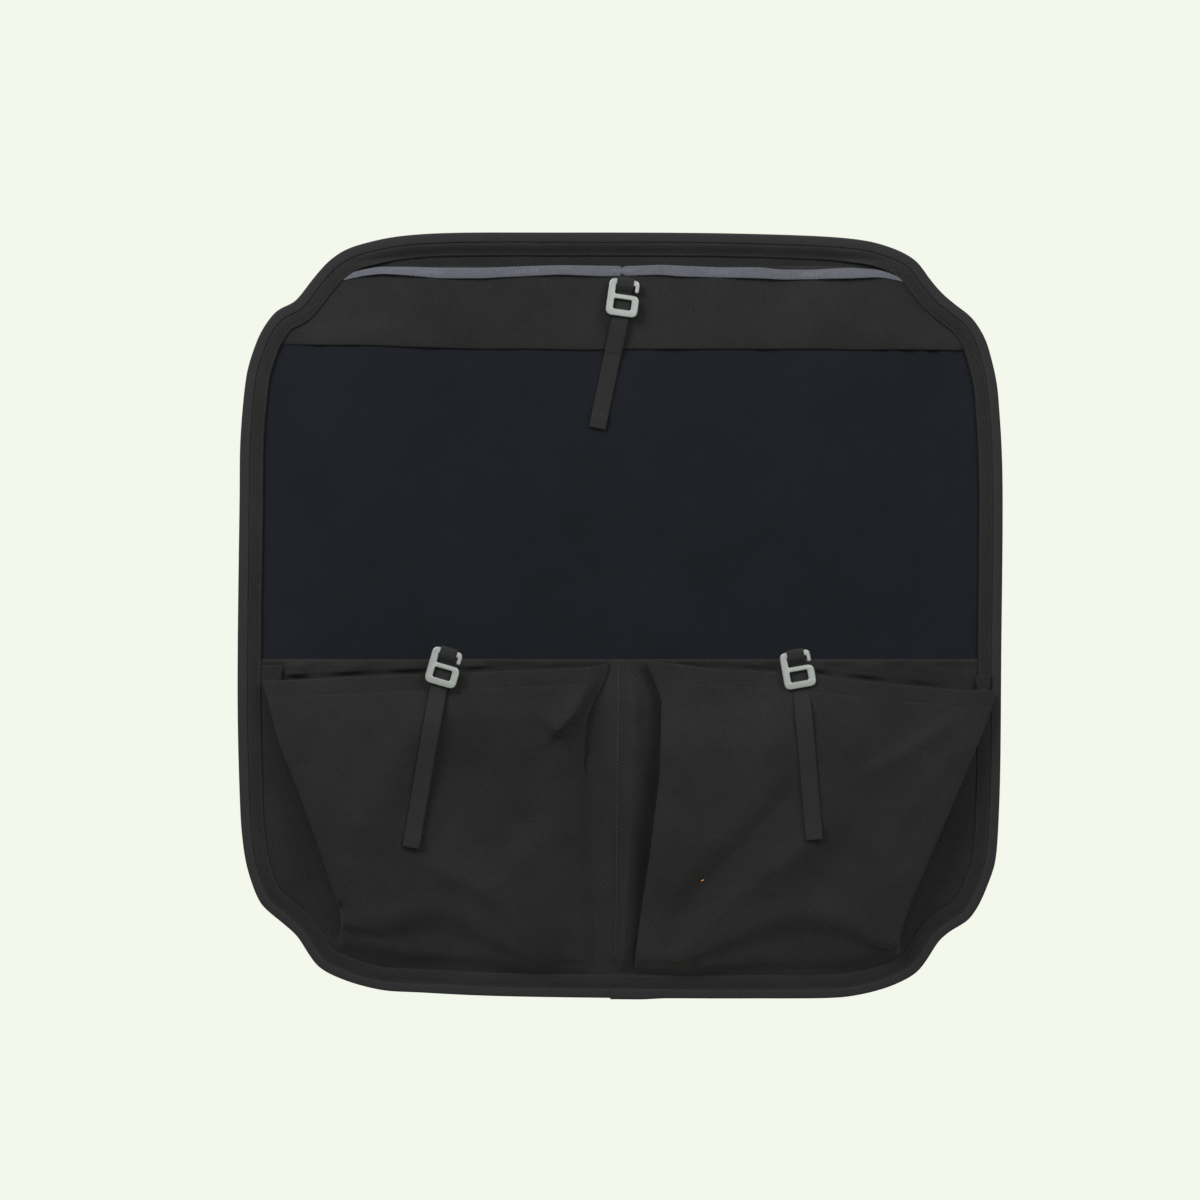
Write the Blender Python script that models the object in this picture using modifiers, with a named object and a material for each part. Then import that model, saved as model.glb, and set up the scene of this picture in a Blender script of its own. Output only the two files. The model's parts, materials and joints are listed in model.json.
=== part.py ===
"""Van door storage panel: a padded fabric panel with an S-cornered outline that is fixed over a van's
rear door window. One wide flat pocket above, two bellows pockets made of one pleated piece of canvas
below, and three webbing straps with a G-hook each.

Metres, +Z up. The back face lies on y = 0 and the front faces -Y. In the comments a depth is a distance
forward of the back face, so y = -depth.
"""

import math

import bmesh
import bpy
from mathutils import Matrix, Vector

MM = 0.001

# Panel
PANEL_WIDTH = 666 * MM
PANEL_HEIGHT = 667 * MM
CLEARANCE = 0.3 * MM

# Flat layers, from the door outwards
LINING_THICKNESS = 0.5 * MM
CORE_THICKNESS = 4.5 * MM
CORE_SLOPE = 5 * MM
BASE_THICKNESS = 0.5 * MM
NAVY_THICKNESS = 0.5 * MM
CANVAS_THICKNESS = 0.5 * MM
POCKET_THICKNESS = 0.6 * MM
FACING_THICKNESS = 0.5 * MM

# Edge
BINDING_THICKNESS = 0.8 * MM
BINDING_WIDTH = 8.5 * MM
BINDING_ROUND = 1.2 * MM
FACING_WIDTH = 12 * MM
LAP_START = 15.5 * MM
LAP_END = -8.5 * MM
LAP_RAMP = 25 * MM
SEAM_ALLOWANCE = 4 * MM

# Magnets in the channel
MAGNET_LENGTH = 24 * MM
MAGNET_WIDTH = 10 * MM
MAGNET_THICKNESS = 2.2 * MM
MAGNET_COUNT = 12

# Upper pocket: a band on the lip, a navy front, and a seam between them
LIP_BELOW_TOP = 29.5 * MM
LIP_END_DROP = 12 * MM
BAND_SEAM_BELOW_TOP = 101 * MM
BAND_OVERLAP = 12 * MM
UPPER_GAPE = 14 * MM
UPPER_SIDE_FALL = 95 * MM
PANEL_SEAM_BELOW_TOP = 371.5 * MM
NAVY_UNDERLAP = 10 * MM

# Daisy-chain webbing on the lip
DAISY_WIDTH = 9.8 * MM
DAISY_THICKNESS = 1.2 * MM
DAISY_PITCH = 82.5 * MM
DAISY_TACK_X = 1.5 * MM
DAISY_BOW = 2.2 * MM

# Lower pockets
MOUTH_GAPE = 22 * MM
MOUTH_END_DEPTH = 3 * MM
OUTER_FOLD_DEPTH = 24 * MM
OUTER_FOLD_FOOT = 17 * MM
LEFT_INNER_FOLD_DEPTH = 9 * MM
RIGHT_INNER_FOLD_DEPTH = 17 * MM
INNER_FOLD_FOOT = 4 * MM
INNER_PLEAT_DEPTH = 15 * MM
# Where down a pocket its folds reach their full depth and start to lose it again, as shares of its height
OUTER_FULL_AT = 0.8
OUTER_DROP_FROM = 0.75
INNER_FULL_AT = 0.33
INNER_DROP_FROM = 0.55
FACE_BELLY = 6 * MM
PLEAT_TUCK = 6 * MM
FOLD_RADIUS = 1.8 * MM
LEAST_GUSSET = 10 * MM
LEAST_FOOT = 14 * MM
HEM_HEIGHT = 15 * MM
HEM_EXTRA = 0.4 * MM

# Straps and hooks
STRAP_WIDTH = 14.6 * MM
STRAP_THICKNESS = 1.1 * MM
STRAP_END_FOLD = 9 * MM
STRAP_BEND = 2.2 * MM
# Below a hook a strap's leg takes SETTLE to come down on the cloth, and its tail up to TAIL_SETTLE. Both clear
# what is within REACH of them, which shrinks to LAST_REACH over REACH_FALL
STRAP_SETTLE = 22 * MM
STRAP_TAIL_SETTLE = 30 * MM
STRAP_REACH = 12 * MM
STRAP_LAST_REACH = 2 * MM
STRAP_REACH_FALL = 25 * MM
HOOK_PLATE = 3.0 * MM
HOOK_BEVEL = 0.7 * MM
HOOK_SLOT_WIDTH = 15.2 * MM
HOOK_SLOT_HEIGHT = 8.7 * MM
HOOK_RAIL = 6.3 * MM
HOOK_BOTTOM_BAR = 6.0 * MM
HOOK_MIDDLE_BAR = 4.3 * MM
HOOK_MOUTH_HEIGHT = 8.0 * MM
HOOK_TOP_BAR = 5.2 * MM
HOOK_NOSE_DROP = 6.2 * MM
HOOK_CORNER = 4.5 * MM
HOOK_INNER_CORNER = 1.2 * MM

# The outline's corner points in millimetres: (in from the side edge, in from the top or bottom edge)
TOP_LEFT = (
    (1.7, 234), (2.6, 178), (7.8, 124.4), (14.8, 100), (21.8, 84.4), (33.9, 68.7), (49.6, 60),
    (57.4, 51.3), (65.3, 40.9), (77.4, 27), (91.4, 16.5), (107, 10.4), (133, 4.4), (170, 0.9), (281, 0),
)
TOP_RIGHT = (
    (232, 0.9), (142, 4.4), (115.7, 7.8), (88.7, 16.5), (74, 26.1), (63.5, 40), (52.2, 53.1),
    (40, 63.5), (27, 74), (16.5, 89.6), (11.3, 103.5), (5.2, 129.6), (2.6, 155.7), (0, 208),
)
BOTTOM_RIGHT = (
    (0.9, 303), (2.6, 172), (6.1, 120), (13.1, 98.3), (20.9, 80.9), (30.5, 67.9), (44.4, 59.2),
    (54.8, 50.5), (63.5, 37.4), (73.1, 24.4), (86.1, 15.7), (108.8, 7), (142, 0.9), (220, 0),
)
BOTTOM_LEFT = (
    (290, 0.9), (211, 2.6), (159, 5.2), (128, 7), (108, 11.3), (83.5, 20), (69.6, 28.7), (60, 41.8),
    (51.3, 54.8), (36.5, 67.9), (21.8, 80.9), (14.8, 94), (7, 120), (3.5, 146), (1.7, 181), (0, 259),
)

# Pocket lines in millimetres: (x, below the panel's top edge)
MOUTH_LINE = (
    (-330, 390), (-308, 390), (-280, 389), (-209, 385), (-171, 384), (-122, 382), (-24, 378.5),
    (-2, 372.5), (22, 372), (80, 379.5), (139, 382), (168, 384.5), (227, 391.5), (291, 397.5), (330, 398.5),
)
# The bottom fold of the faces in millimetres: (x, above the panel's bottom edge)
BOTTOM_FOLD = (
    (-330, 66), (-256, 80), (-246, 68), (-205, 61), (-170, 71), (-150, 71), (-122, 60), (-70, 33), (-26, 18),
    (12, 16), (40, 26), (78, 45), (122, 64), (163, 72), (190, 66), (232, 46), (250, 60), (330, 66),
)
# Fold lines in millimetres: (below the panel's top edge, in from the side edge or right of the centre)
LEFT_OUTER_FOLD = ((385, 24), (431, 33), (464, 46), (512, 63.5), (584, 83.5), (602, 88))
LEFT_INNER_FOLD = ((375, -12), (396, -18), (420, -30), (477, -32), (574, -29.5), (646, -25))
RIGHT_INNER_FOLD = ((375, 22), (407, 36), (477, 34.5), (550, 26), (599, 19), (647, 13))
RIGHT_OUTER_FOLD = ((390, 5), (438, 15.5), (477, 37), (543, 65), (599, 86), (610, 88))
CENTRE_SEAM = ((372, -1), (646, -3.5))

# Soft folds of the faces: points (x, below the top edge) in millimetres, then half-width and height
FACE_FOLDS = (
    (((-178, 419), (-204, 471), (-228, 529), (-236, 575)), 20, 5.0),
    (((-123, 517), (-83, 529), (-65, 558)), 20, -4.0),
    (((-170, 546), (-129, 567), (-97, 590), (-74, 616), (-59, 630)), 11, 4.0),
    (((-158, 570), (-123, 587), (-97, 610)), 7, -2.5),
    (((-236, 597), (-204, 590), (-170, 587), (-141, 600), (-103, 620), (-68, 633)), 9, 3.5),
    (((-54, 433), (-36, 407), (-10, 387)), 6, -6.0),
    (((-65, 422), (-45, 401), (-22, 384)), 8, 3.0),
    (((45, 400), (45, 442), (38, 517), (27, 587)), 11, 3.0),
    (((157, 494), (113, 535), (70, 575), (32, 610)), 15, -4.5),
    (((168, 535), (107, 578), (58, 622), (44, 638)), 12, 3.5),
    (((98, 607), (145, 594), (174, 590), (197, 596), (229, 616)), 9, 3.0),
    (((296, 407), (249, 442), (212, 471)), 11, 2.5),
    (((304, 433), (273, 477), (252, 506)), 14, 2.0),
)

# Each strap: the hook's slot centre (x, and its height above the pocket mouth or below the panel's top
# edge), the hook's lean, the tail's lean, the anchored leg's lean and length, and the tail's length; leans in
# degrees, clockwise seen from the front
STRAPS = {
    "top": {"x": 2 * MM, "below_top": 64.5 * MM, "lean": 8, "tail_lean": 12, "leg_lean": -9,
            "leg": 38 * MM, "tail": 98 * MM},
    "left": {"x": -153 * MM, "above_mouth": -0.3 * MM, "lean": 16, "tail_lean": 10, "leg_lean": 10,
             "leg": 30 * MM, "tail": 142 * MM},
    "right": {"x": 154 * MM, "above_mouth": -2.2 * MM, "lean": -10, "tail_lean": -5, "leg_lean": -5,
              "leg": 30 * MM, "tail": 131 * MM},
}

COLOURS = {
    "canvas": (0.020, 0.020, 0.020),
    "navy": (0.014, 0.015, 0.019),
    "binding": (0.036, 0.036, 0.038),
    "webbing": (0.160, 0.160, 0.190),
    "strap": (0.022, 0.022, 0.022),
    "foam": (0.300, 0.300, 0.310),
    "steel": (0.600, 0.600, 0.610),
}

# Depths of the layers' back faces, each one clearance in front of the layer behind it
CORE_BACK = LINING_THICKNESS + CLEARANCE
BASE_BACK = CORE_BACK + CORE_THICKNESS + CLEARANCE
NAVY_BACK = BASE_BACK + BASE_THICKNESS + CLEARANCE
CANVAS_BACK = NAVY_BACK + NAVY_THICKNESS + CLEARANCE
POCKET_BACK = CANVAS_BACK + CANVAS_THICKNESS + CLEARANCE
FACING_BACK = POCKET_BACK + POCKET_THICKNESS + HEM_EXTRA + CLEARANCE
BINDING_FRONT = FACING_BACK + FACING_THICKNESS + CLEARANCE + BINDING_THICKNESS
LAP_STEP = BINDING_THICKNESS + CLEARANCE
RIM_BACK = BINDING_THICKNESS + CLEARANCE + LAP_STEP
BINDING_BACK = RIM_BACK - CLEARANCE - BINDING_THICKNESS
LAYER_INSET = BINDING_THICKNESS + CLEARANCE
FACING_INNER = BINDING_WIDTH + FACING_WIDTH

HALF_WIDTH = PANEL_WIDTH / 2
HALF_HEIGHT = PANEL_HEIGHT / 2


def clear_scene():
    for old in list(bpy.data.objects):
        bpy.data.objects.remove(old, do_unlink=True)


def smooth(t):
    t = min(max(t, 0.0), 1.0)
    return t * t * (3 - 2 * t)


def mix(a, b, t):
    return a + (b - a) * t


def along(points, at):
    """The value at a place on a line through (place, value) points."""
    if at <= points[0][0]:
        return points[0][1]
    for (p0, v0), (p1, v1) in zip(points, points[1:]):
        if at <= p1:
            return mix(v0, v1, (at - p0) / (p1 - p0))
    return points[-1][1]


def height_of(down_mm):
    return HALF_HEIGHT - down_mm * MM


# Outline

def corner(points, side, end):
    """A corner's points as (x, z): side -1 is left and 1 right, end -1 is the bottom and 1 the top."""
    return [
        Vector((side * (HALF_WIDTH - across * MM), end * (HALF_HEIGHT - inward * MM)))
        for across, inward in points
    ]


def smooth_loop(points, most_turn=math.radians(9)):
    """A closed Catmull-Rom curve through the points, with more steps where it turns more."""
    loop = []
    count = len(points)
    for i in range(count):
        before, start, end, after = (points[(i + k) % count] for k in (-1, 0, 1, 2))
        knots = [0.0]
        for a, b in ((before, start), (start, end), (end, after)):
            knots.append(knots[-1] + math.sqrt((b - a).length))
        turn = (start - before).angle(end - start) + (end - start).angle(after - end)
        steps = max(1, math.ceil(turn / 2 / most_turn))
        for step in range(steps):
            t = mix(knots[1], knots[2], step / steps)
            a1 = before.lerp(start, (t - knots[0]) / (knots[1] - knots[0]))
            a2 = start.lerp(end, (t - knots[1]) / (knots[2] - knots[1]))
            a3 = end.lerp(after, (t - knots[2]) / (knots[3] - knots[2]))
            b1 = a1.lerp(a2, (t - knots[0]) / (knots[2] - knots[0]))
            b2 = a2.lerp(a3, (t - knots[1]) / (knots[3] - knots[1]))
            loop.append(b1.lerp(b2, (t - knots[1]) / (knots[2] - knots[1])))
    return loop


def normals_of(loop):
    """Inward unit normals of a loop that runs clockwise seen from the front."""
    found = []
    for i, point in enumerate(loop):
        a = (point - loop[i - 1]).normalized()
        b = (loop[(i + 1) % len(loop)] - point).normalized()
        tangent = (a + b).normalized()
        found.append(Vector((tangent.y, -tangent.x)))
    return found


OUTLINE = smooth_loop(
    corner(TOP_LEFT, -1, 1) + corner(TOP_RIGHT, 1, 1) + corner(BOTTOM_RIGHT, 1, -1) + corner(BOTTOM_LEFT, -1, -1)
)
NORMALS = normals_of(OUTLINE)


def inset(distance):
    return [point + normal * distance for point, normal in zip(OUTLINE, NORMALS)]


def sides(loop, z):
    """The loop's leftmost and rightmost x at a height."""
    z = min(max(z, min(p.y for p in loop) + MM), max(p.y for p in loop) - MM)
    crossings = []
    for i, b in enumerate(loop):
        a = loop[i - 1]
        if (a.y - z) * (b.y - z) <= 0 and a.y != b.y:
            crossings.append(mix(a.x, b.x, (z - a.y) / (b.y - a.y)))
    return min(crossings), max(crossings)


SEWN_EDGE = inset(SEAM_ALLOWANCE)
FACING_EDGE = inset(FACING_INNER)


# Objects

def material_of(name):
    found = bpy.data.materials.get(name)
    if found:
        return found
    made = bpy.data.materials.new(name)
    made.use_nodes = True
    shader = made.node_tree.nodes["Principled BSDF"]
    shader.inputs["Base Color"].default_value = (*COLOURS[name], 1)
    shader.inputs["Roughness"].default_value = 0.35 if name == "steel" else 0.9
    shader.inputs["Metallic"].default_value = 1.0 if name == "steel" else 0.0
    return made


def keep(name, data, material, collection):
    obj = bpy.data.objects.new(name, data)
    obj.data.materials.append(material_of(material))
    collection.objects.link(obj)
    return obj


def flat_layer(name, loops, back, thickness, material, collection):
    """A flat layer of cloth: outlines in the x-z plane, filled and given a thickness."""
    curve = bpy.data.curves.new(name, "CURVE")
    curve.dimensions = "2D"
    curve.fill_mode = "BOTH"
    curve.extrude = thickness / 2
    for loop in loops:
        spline = curve.splines.new("POLY")
        spline.points.add(len(loop) - 1)
        for point, place in zip(spline.points, loop):
            point.co = (place.x, place.y, 0, 1)
        spline.use_cyclic_u = True
    obj = keep(name, curve, material, collection)
    obj.rotation_euler = (math.pi / 2, 0, 0)
    obj.location = (0, -back - thickness / 2, 0)
    return obj


def cloth_sheet(name, rows, thickness, material, collection, extra=None):
    """A shaped sheet through a grid of mid-surface points; extra(row) thickens a hem."""
    width = len(rows[0])
    points = [point for row in rows for point in row]
    faces = []
    for r in range(len(rows) - 1):
        for c in range(width - 1):
            first = r * width + c
            faces.append((first, first + 1, first + width + 1, first + width))
    mesh = bpy.data.meshes.new(name)
    mesh.from_pydata(points, [], faces)
    obj = keep(name, mesh, material, collection)
    solid = obj.modifiers.new("thickness", "SOLIDIFY")
    solid.thickness = thickness
    solid.offset = 0
    solid.use_even_offset = False
    if extra:
        most = thickness + max(extra)
        group = obj.vertex_groups.new(name="hem")
        for r in range(len(rows)):
            group.add(list(range(r * width, (r + 1) * width)), (thickness + extra[r]) / most, "REPLACE")
        solid.thickness = most
        solid.vertex_group = group.name
    mesh.polygons.foreach_set("use_smooth", [True] * len(mesh.polygons))
    return obj


def lofted(name, sections, material, collection, joined=False):
    """A solid through closed sections of equal point counts, with an end cap on each open end."""
    count = len(sections[0])
    points = [point for section in sections for point in section]
    faces = []
    last = len(sections) if joined else len(sections) - 1
    for s in range(last):
        near = s * count
        far = (s + 1) % len(sections) * count
        for k in range(count):
            after = (k + 1) % count
            faces.append((near + k, near + after, far + after, far + k))
    if not joined:
        faces.append(tuple(reversed(range(count))))
        faces.append(tuple(range((len(sections) - 1) * count, len(sections) * count)))
    mesh = bpy.data.meshes.new(name)
    mesh.from_pydata(points, [], faces)
    work = bmesh.new()
    work.from_mesh(mesh)
    bmesh.ops.recalc_face_normals(work, faces=work.faces)
    work.to_mesh(mesh)
    work.free()
    return keep(name, mesh, material, collection)


def ribbon(name, centres, across, width, thicknesses, material, collection):
    """A flat tape along a path: each station's section is a rectangle across the path."""
    sections = []
    for i, (centre, side) in enumerate(zip(centres, across)):
        ahead = centres[min(i + 1, len(centres) - 1)] - centres[max(i - 1, 0)]
        up = ahead.normalized().cross(side).normalized()
        half = side * width / 2
        rise = up * thicknesses[i] / 2
        sections.append([centre - half - rise, centre + half - rise, centre + half + rise, centre - half + rise])
    return lofted(name, sections, material, collection)


# Upper pocket

LIP_Z = HALF_HEIGHT - LIP_BELOW_TOP
BAND_SEAM_Z = HALF_HEIGHT - BAND_SEAM_BELOW_TOP
PANEL_SEAM_Z = HALF_HEIGHT - PANEL_SEAM_BELOW_TOP


def lip_height(x):
    """The lip runs level and drops at its ends, where it goes under the facing."""
    end = sides(FACING_EDGE, LIP_Z - LIP_END_DROP)
    near = min(x - end[0], end[1] - x)
    return LIP_Z - LIP_END_DROP * (1 - smooth(near / (60 * MM)))


def upper_bulge(x, z):
    """How far the upper pocket's front stands off the base panel."""
    left, right = sides(FACING_EDGE, z)
    side = smooth(min(x - left, right - x) / UPPER_SIDE_FALL)
    rise = (z - PANEL_SEAM_Z - 15 * MM) / (LIP_Z - PANEL_SEAM_Z - 15 * MM)
    return UPPER_GAPE * side * math.sin(math.pi / 2 * min(max(rise, 0), 1)) ** 1.3


def band_stand(x, z):
    """The band stands off like the navy front behind it, and a clearance more where both bulge."""
    bulge = upper_bulge(x, z)
    return bulge + CLEARANCE * min(bulge / MM, 1)


def make_upper_pocket(collection):
    rows = []
    for r in range(13):
        v = r / 12
        z = mix(PANEL_SEAM_Z - NAVY_UNDERLAP, BAND_SEAM_Z + BAND_OVERLAP, v)
        left, right = sides(SEWN_EDGE, z)
        row = []
        for c in range(25):
            x = mix(left, right, c / 24)
            row.append(Vector((x, -NAVY_BACK - NAVY_THICKNESS / 2 - upper_bulge(x, z), z)))
        rows.append(row)
    cloth_sheet("navy_panel", rows, NAVY_THICKNESS, "navy", collection)

    rows = []
    for r in range(8):
        v = r / 7
        row = []
        for c in range(41):
            left, right = sides(SEWN_EDGE, mix(BAND_SEAM_Z, LIP_Z - LIP_END_DROP, v))
            x = mix(left, right, c / 40)
            z = mix(BAND_SEAM_Z, lip_height(x), v)
            row.append(Vector((x, -CANVAS_BACK - CANVAS_THICKNESS / 2 - band_stand(x, z), z)))
        rows.append(row)
    cloth_sheet("top_band", rows, CANVAS_THICKNESS, "canvas", collection)


def band_front(x, z):
    return CANVAS_BACK + CANVAS_THICKNESS + band_stand(x, z)


def daisy_bow(x):
    """The tape stands off between its tacks."""
    return DAISY_BOW * abs(math.sin(math.pi * (x - DAISY_TACK_X) / DAISY_PITCH))


def make_daisy_webbing(collection):
    end = sides(FACING_EDGE, LIP_Z - LIP_END_DROP)
    first = end[0] + 2 * MM
    last = end[1] - 2 * MM
    centres = []
    across = []
    for i in range(73):
        x = mix(first, last, i / 72)
        z = lip_height(x) - DAISY_WIDTH / 2
        ends = smooth(min(x - first, last - x) / (25 * MM))
        near = [(x + i * 6 * MM, z + k * DAISY_WIDTH / 2) for i in (-1, 0, 1) for k in (-1, 0, 1)]
        behind = max(band_front(*place) for place in near)
        depth = behind + CLEARANCE + DAISY_THICKNESS / 2 + daisy_bow(x) * ends
        centres.append(Vector((x, -depth, z)))
        across.append(Vector((0, 0, 1)))
    ribbon("daisy_webbing", centres, across, DAISY_WIDTH, [DAISY_THICKNESS] * 73, "webbing", collection)


# Lower pockets

# Rows of the bottom gusset: (share of the way from the bottom fold to the facing, share of the depth)
BOTTOM_ROWS = ((0.1, 0.93), (0.22, 0.76), (0.36, 0.53), (0.52, 0.30), (0.74, 0.1), (1, 0))
FACE_STEPS = 12


def mouth_height(x):
    return height_of(along([(at * MM, down) for at, down in MOUTH_LINE], x))


def bottom_height(x):
    """The faces' bottom fold, at least a foot's width above the facing."""
    rise = along([(at * MM, up) for at, up in BOTTOM_FOLD], x) * MM
    return max(-HALF_HEIGHT + rise, min(p.y for p in FACING_EDGE) + LEAST_FOOT)


def facing_station(axis, value, side):
    """Where the facing's lower inner edge crosses an x (axis 0) or a height (axis 1), as an index into it."""
    for i, b in enumerate(FACING_EDGE):
        a = FACING_EDGE[i - 1]
        crosses = (a[axis] - value) * (b[axis] - value) <= 0 and a[axis] != b[axis]
        if crosses and b.y < 0 and (axis == 0 or b.x * side > 0):
            return i - 1 + (value - a[axis]) / (b[axis] - a[axis])
    return 0


def at_station(loop, station):
    whole = math.floor(station)
    return loop[whole % len(loop)].lerp(loop[(whole + 1) % len(loop)], station - whole)


def fold_x(points, z, side):
    """A fold line's x: side -1 or 1 measures in from that edge, and 0 from the centre."""
    value = along(points, (HALF_HEIGHT - z) / MM) * MM
    return value if side == 0 else side * (HALF_WIDTH - value)


def outer_fold(side, share):
    """(x, z) of a pocket's outer fold, share 0 at the mouth and 1 at the bottom fold."""
    points = LEFT_OUTER_FOLD if side < 0 else RIGHT_OUTER_FOLD
    top = height_of(points[0][0])
    bottom = height_of(points[-1][0])
    z = mix(top, bottom, share)
    return fold_x(points, z, side), z


def inner_fold(side, share):
    points = LEFT_INNER_FOLD if side < 0 else RIGHT_INNER_FOLD
    top = height_of(points[0][0])
    bottom = height_of(points[-1][0])
    z = mix(top, bottom, share)
    return fold_x(points, z, 0), z


def fold_depths(side, share):
    """How far a pocket's outer and inner folds stand off the panel."""
    most = LEFT_INNER_FOLD_DEPTH if side < 0 else RIGHT_INNER_FOLD_DEPTH
    outer = mix(MOUTH_END_DEPTH, OUTER_FOLD_DEPTH, 1 - (1 - min(share / OUTER_FULL_AT, 1)) ** 2)
    outer -= (OUTER_FOLD_DEPTH - OUTER_FOLD_FOOT) * smooth((share - OUTER_DROP_FROM) / (1 - OUTER_DROP_FROM))
    inner = mix(MOUTH_END_DEPTH, most, smooth(share / INNER_FULL_AT))
    inner -= (most - INNER_FOLD_FOOT) * smooth((share - INNER_DROP_FROM) / (1 - INNER_DROP_FROM))
    return outer, inner


def relief(x, z):
    """The soft folds that lie across the faces."""
    place = Vector((x, z))
    height = 0.0
    for points, half_width, rise in FACE_FOLDS:
        line = [Vector((px * MM, height_of(down))) for px, down in points]
        nearest = 1.0
        for a, b in zip(line, line[1:]):
            step = b - a
            t = min(max((place - a).dot(step) / step.dot(step), 0), 1)
            nearest = min(nearest, (place - a - step * t).length)
        height += rise * MM * math.exp(-((nearest / (half_width * MM)) ** 2))
    return height


def face_stand(side, t, share, x, z):
    """How far the face stands off the panel; t runs from the outer fold to the inner one."""
    outer, inner = fold_depths(side, share)
    belly = mix(MOUTH_GAPE, FACE_BELLY, smooth(share * 1.2))
    arch = (4 * t * (1 - t)) ** 0.85
    edge = smooth(6 * t) * smooth(6 * (1 - t)) * smooth(share * 8)
    return mix(outer, inner, t) + FOLD_RADIUS * smooth(3 * share) + belly * arch + relief(x, z) * edge


def pocket_front(side, x, z):
    """The depth of a pocket face's front at a place."""
    share = min(max((mouth_height(x) - z) / (mouth_height(x) - bottom_height(x)), 0), 1)
    outer = outer_fold(side, share)[0]
    inner = inner_fold(side, share)[0]
    t = min(max((x - outer) / (inner - outer), 0), 1)
    hem = HEM_EXTRA if mouth_height(x) - z < HEM_HEIGHT + 5 * MM else 0
    return POCKET_BACK + POCKET_THICKNESS + hem + face_stand(side, t, share, x, z)


# A gusset's section: (share of the way from where it leaves the panel to the fold, share of the tuck, share
# of the depth), and then the round fold, by its angles about the fold's centre
GUSSET = ((0, 0, 0), (0.4, 0, 0.05), (0.8, 0, 0.14), (1, 0.55, 0.30), (1, 1, 0.50), (1, 0.85, 0.72))
FOLD_ANGLES = (-75, -145, 145, 80)


def gusset_section(start, fold, depth, inward, most_depth):
    """(x, stand-off) from where the gusset leaves the panel, under the pleat and round the fold.

    Where the pocket is shallow the pleat opens out flat; inward is the way from the fold to the face."""
    pleated = []
    for way, tucked, rise in GUSSET:
        pleated.append((mix(start, fold, way) + inward * PLEAT_TUCK * tucked, depth * rise))
    for angle in FOLD_ANGLES:
        across = 1 + math.cos(math.radians(angle))
        rise = math.sin(math.radians(angle))
        pleated.append((fold + inward * FOLD_RADIUS * across, depth + FOLD_RADIUS * rise))
    shaped = smooth(1.05 * depth / most_depth)
    last = len(pleated) - 1
    section = []
    for k, (x, stand) in enumerate(pleated):
        flat = (mix(start, fold, k / (last + 1)), depth * (k / last) ** 2)
        section.append((mix(flat[0], x, shaped), mix(flat[1], stand, shaped)))
    return section


def pocket_section(side, share, kept):
    """A pocket's points (x, z, stand-off) from the sewn edge to the centre seam, with kept of the depth."""
    outer, outer_z = outer_fold(side, share)
    inner, inner_z = inner_fold(side, share)
    end = 0 if side < 0 else 1
    edge = sides(SEWN_EDGE, outer_z)[end]
    leaves = sides(FACING_EDGE, outer_z)[end] - side * CLEARANCE
    outer = max(outer, leaves + LEAST_GUSSET) if side < 0 else min(outer, leaves - LEAST_GUSSET)
    seam = fold_x(CENTRE_SEAM, inner_z, 0)
    outer_depth, inner_depth = (depth * kept for depth in fold_depths(side, share))
    section = [(edge, 0)] + gusset_section(leaves, outer, outer_depth, -side, OUTER_FOLD_DEPTH)
    for k in range(1, FACE_STEPS):
        t = k / FACE_STEPS
        x = mix(outer, inner, t)
        z = mix(mouth_height(x), bottom_height(x), share)
        section.append((x, face_stand(side, t, share, x, z) * kept))
    section += gusset_section(seam, inner, inner_depth, side, INNER_PLEAT_DEPTH)[::-1]
    return [(x, mix(mouth_height(x), bottom_height(x), share), stand) for x, stand in section]


def foot_stations(side):
    """Where each point of a pocket's section comes down on the facing's inner edge, as indexes into it."""
    section = pocket_section(side, 1, 1)
    corner_points = len(GUSSET) + len(FOLD_ANGLES)
    start = facing_station(1, section[1][1] - 3 * MM, side)
    end = facing_station(0, section[corner_points + 1][0], side)
    stations = []
    for k, (x, z, stand) in enumerate(section):
        if k <= corner_points:
            stations.append(mix(start, end, (k + 0.5) / (corner_points + 1.5)))
        else:
            stations.append(facing_station(0, x, side))
    return stations


def pocket_row(stations, share, way_down, kept, under=0):
    """One row across both pockets, from the left sewn edge to the right one.

    stations are both sides' foot stations. share runs down the faces; way_down then runs from the bottom
    fold to the facing, where kept is the share of the depth that is left, and under runs from there to the
    sewn edge."""
    points = []
    for side in (-1, 1):
        section = []
        for k, (x, z, stand) in enumerate(pocket_section(side, share, kept)):
            station = stations[side][k]
            inner = at_station(SEWN_EDGE if k == 0 else FACING_EDGE, station)
            place = Vector((x, z)).lerp(inner, way_down).lerp(at_station(SEWN_EDGE, station), under)
            section.append(Vector((place.x, -POCKET_BACK - POCKET_THICKNESS / 2 - stand, place.y)))
        points += section if side < 0 else section[::-1][1:]
    return points


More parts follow.
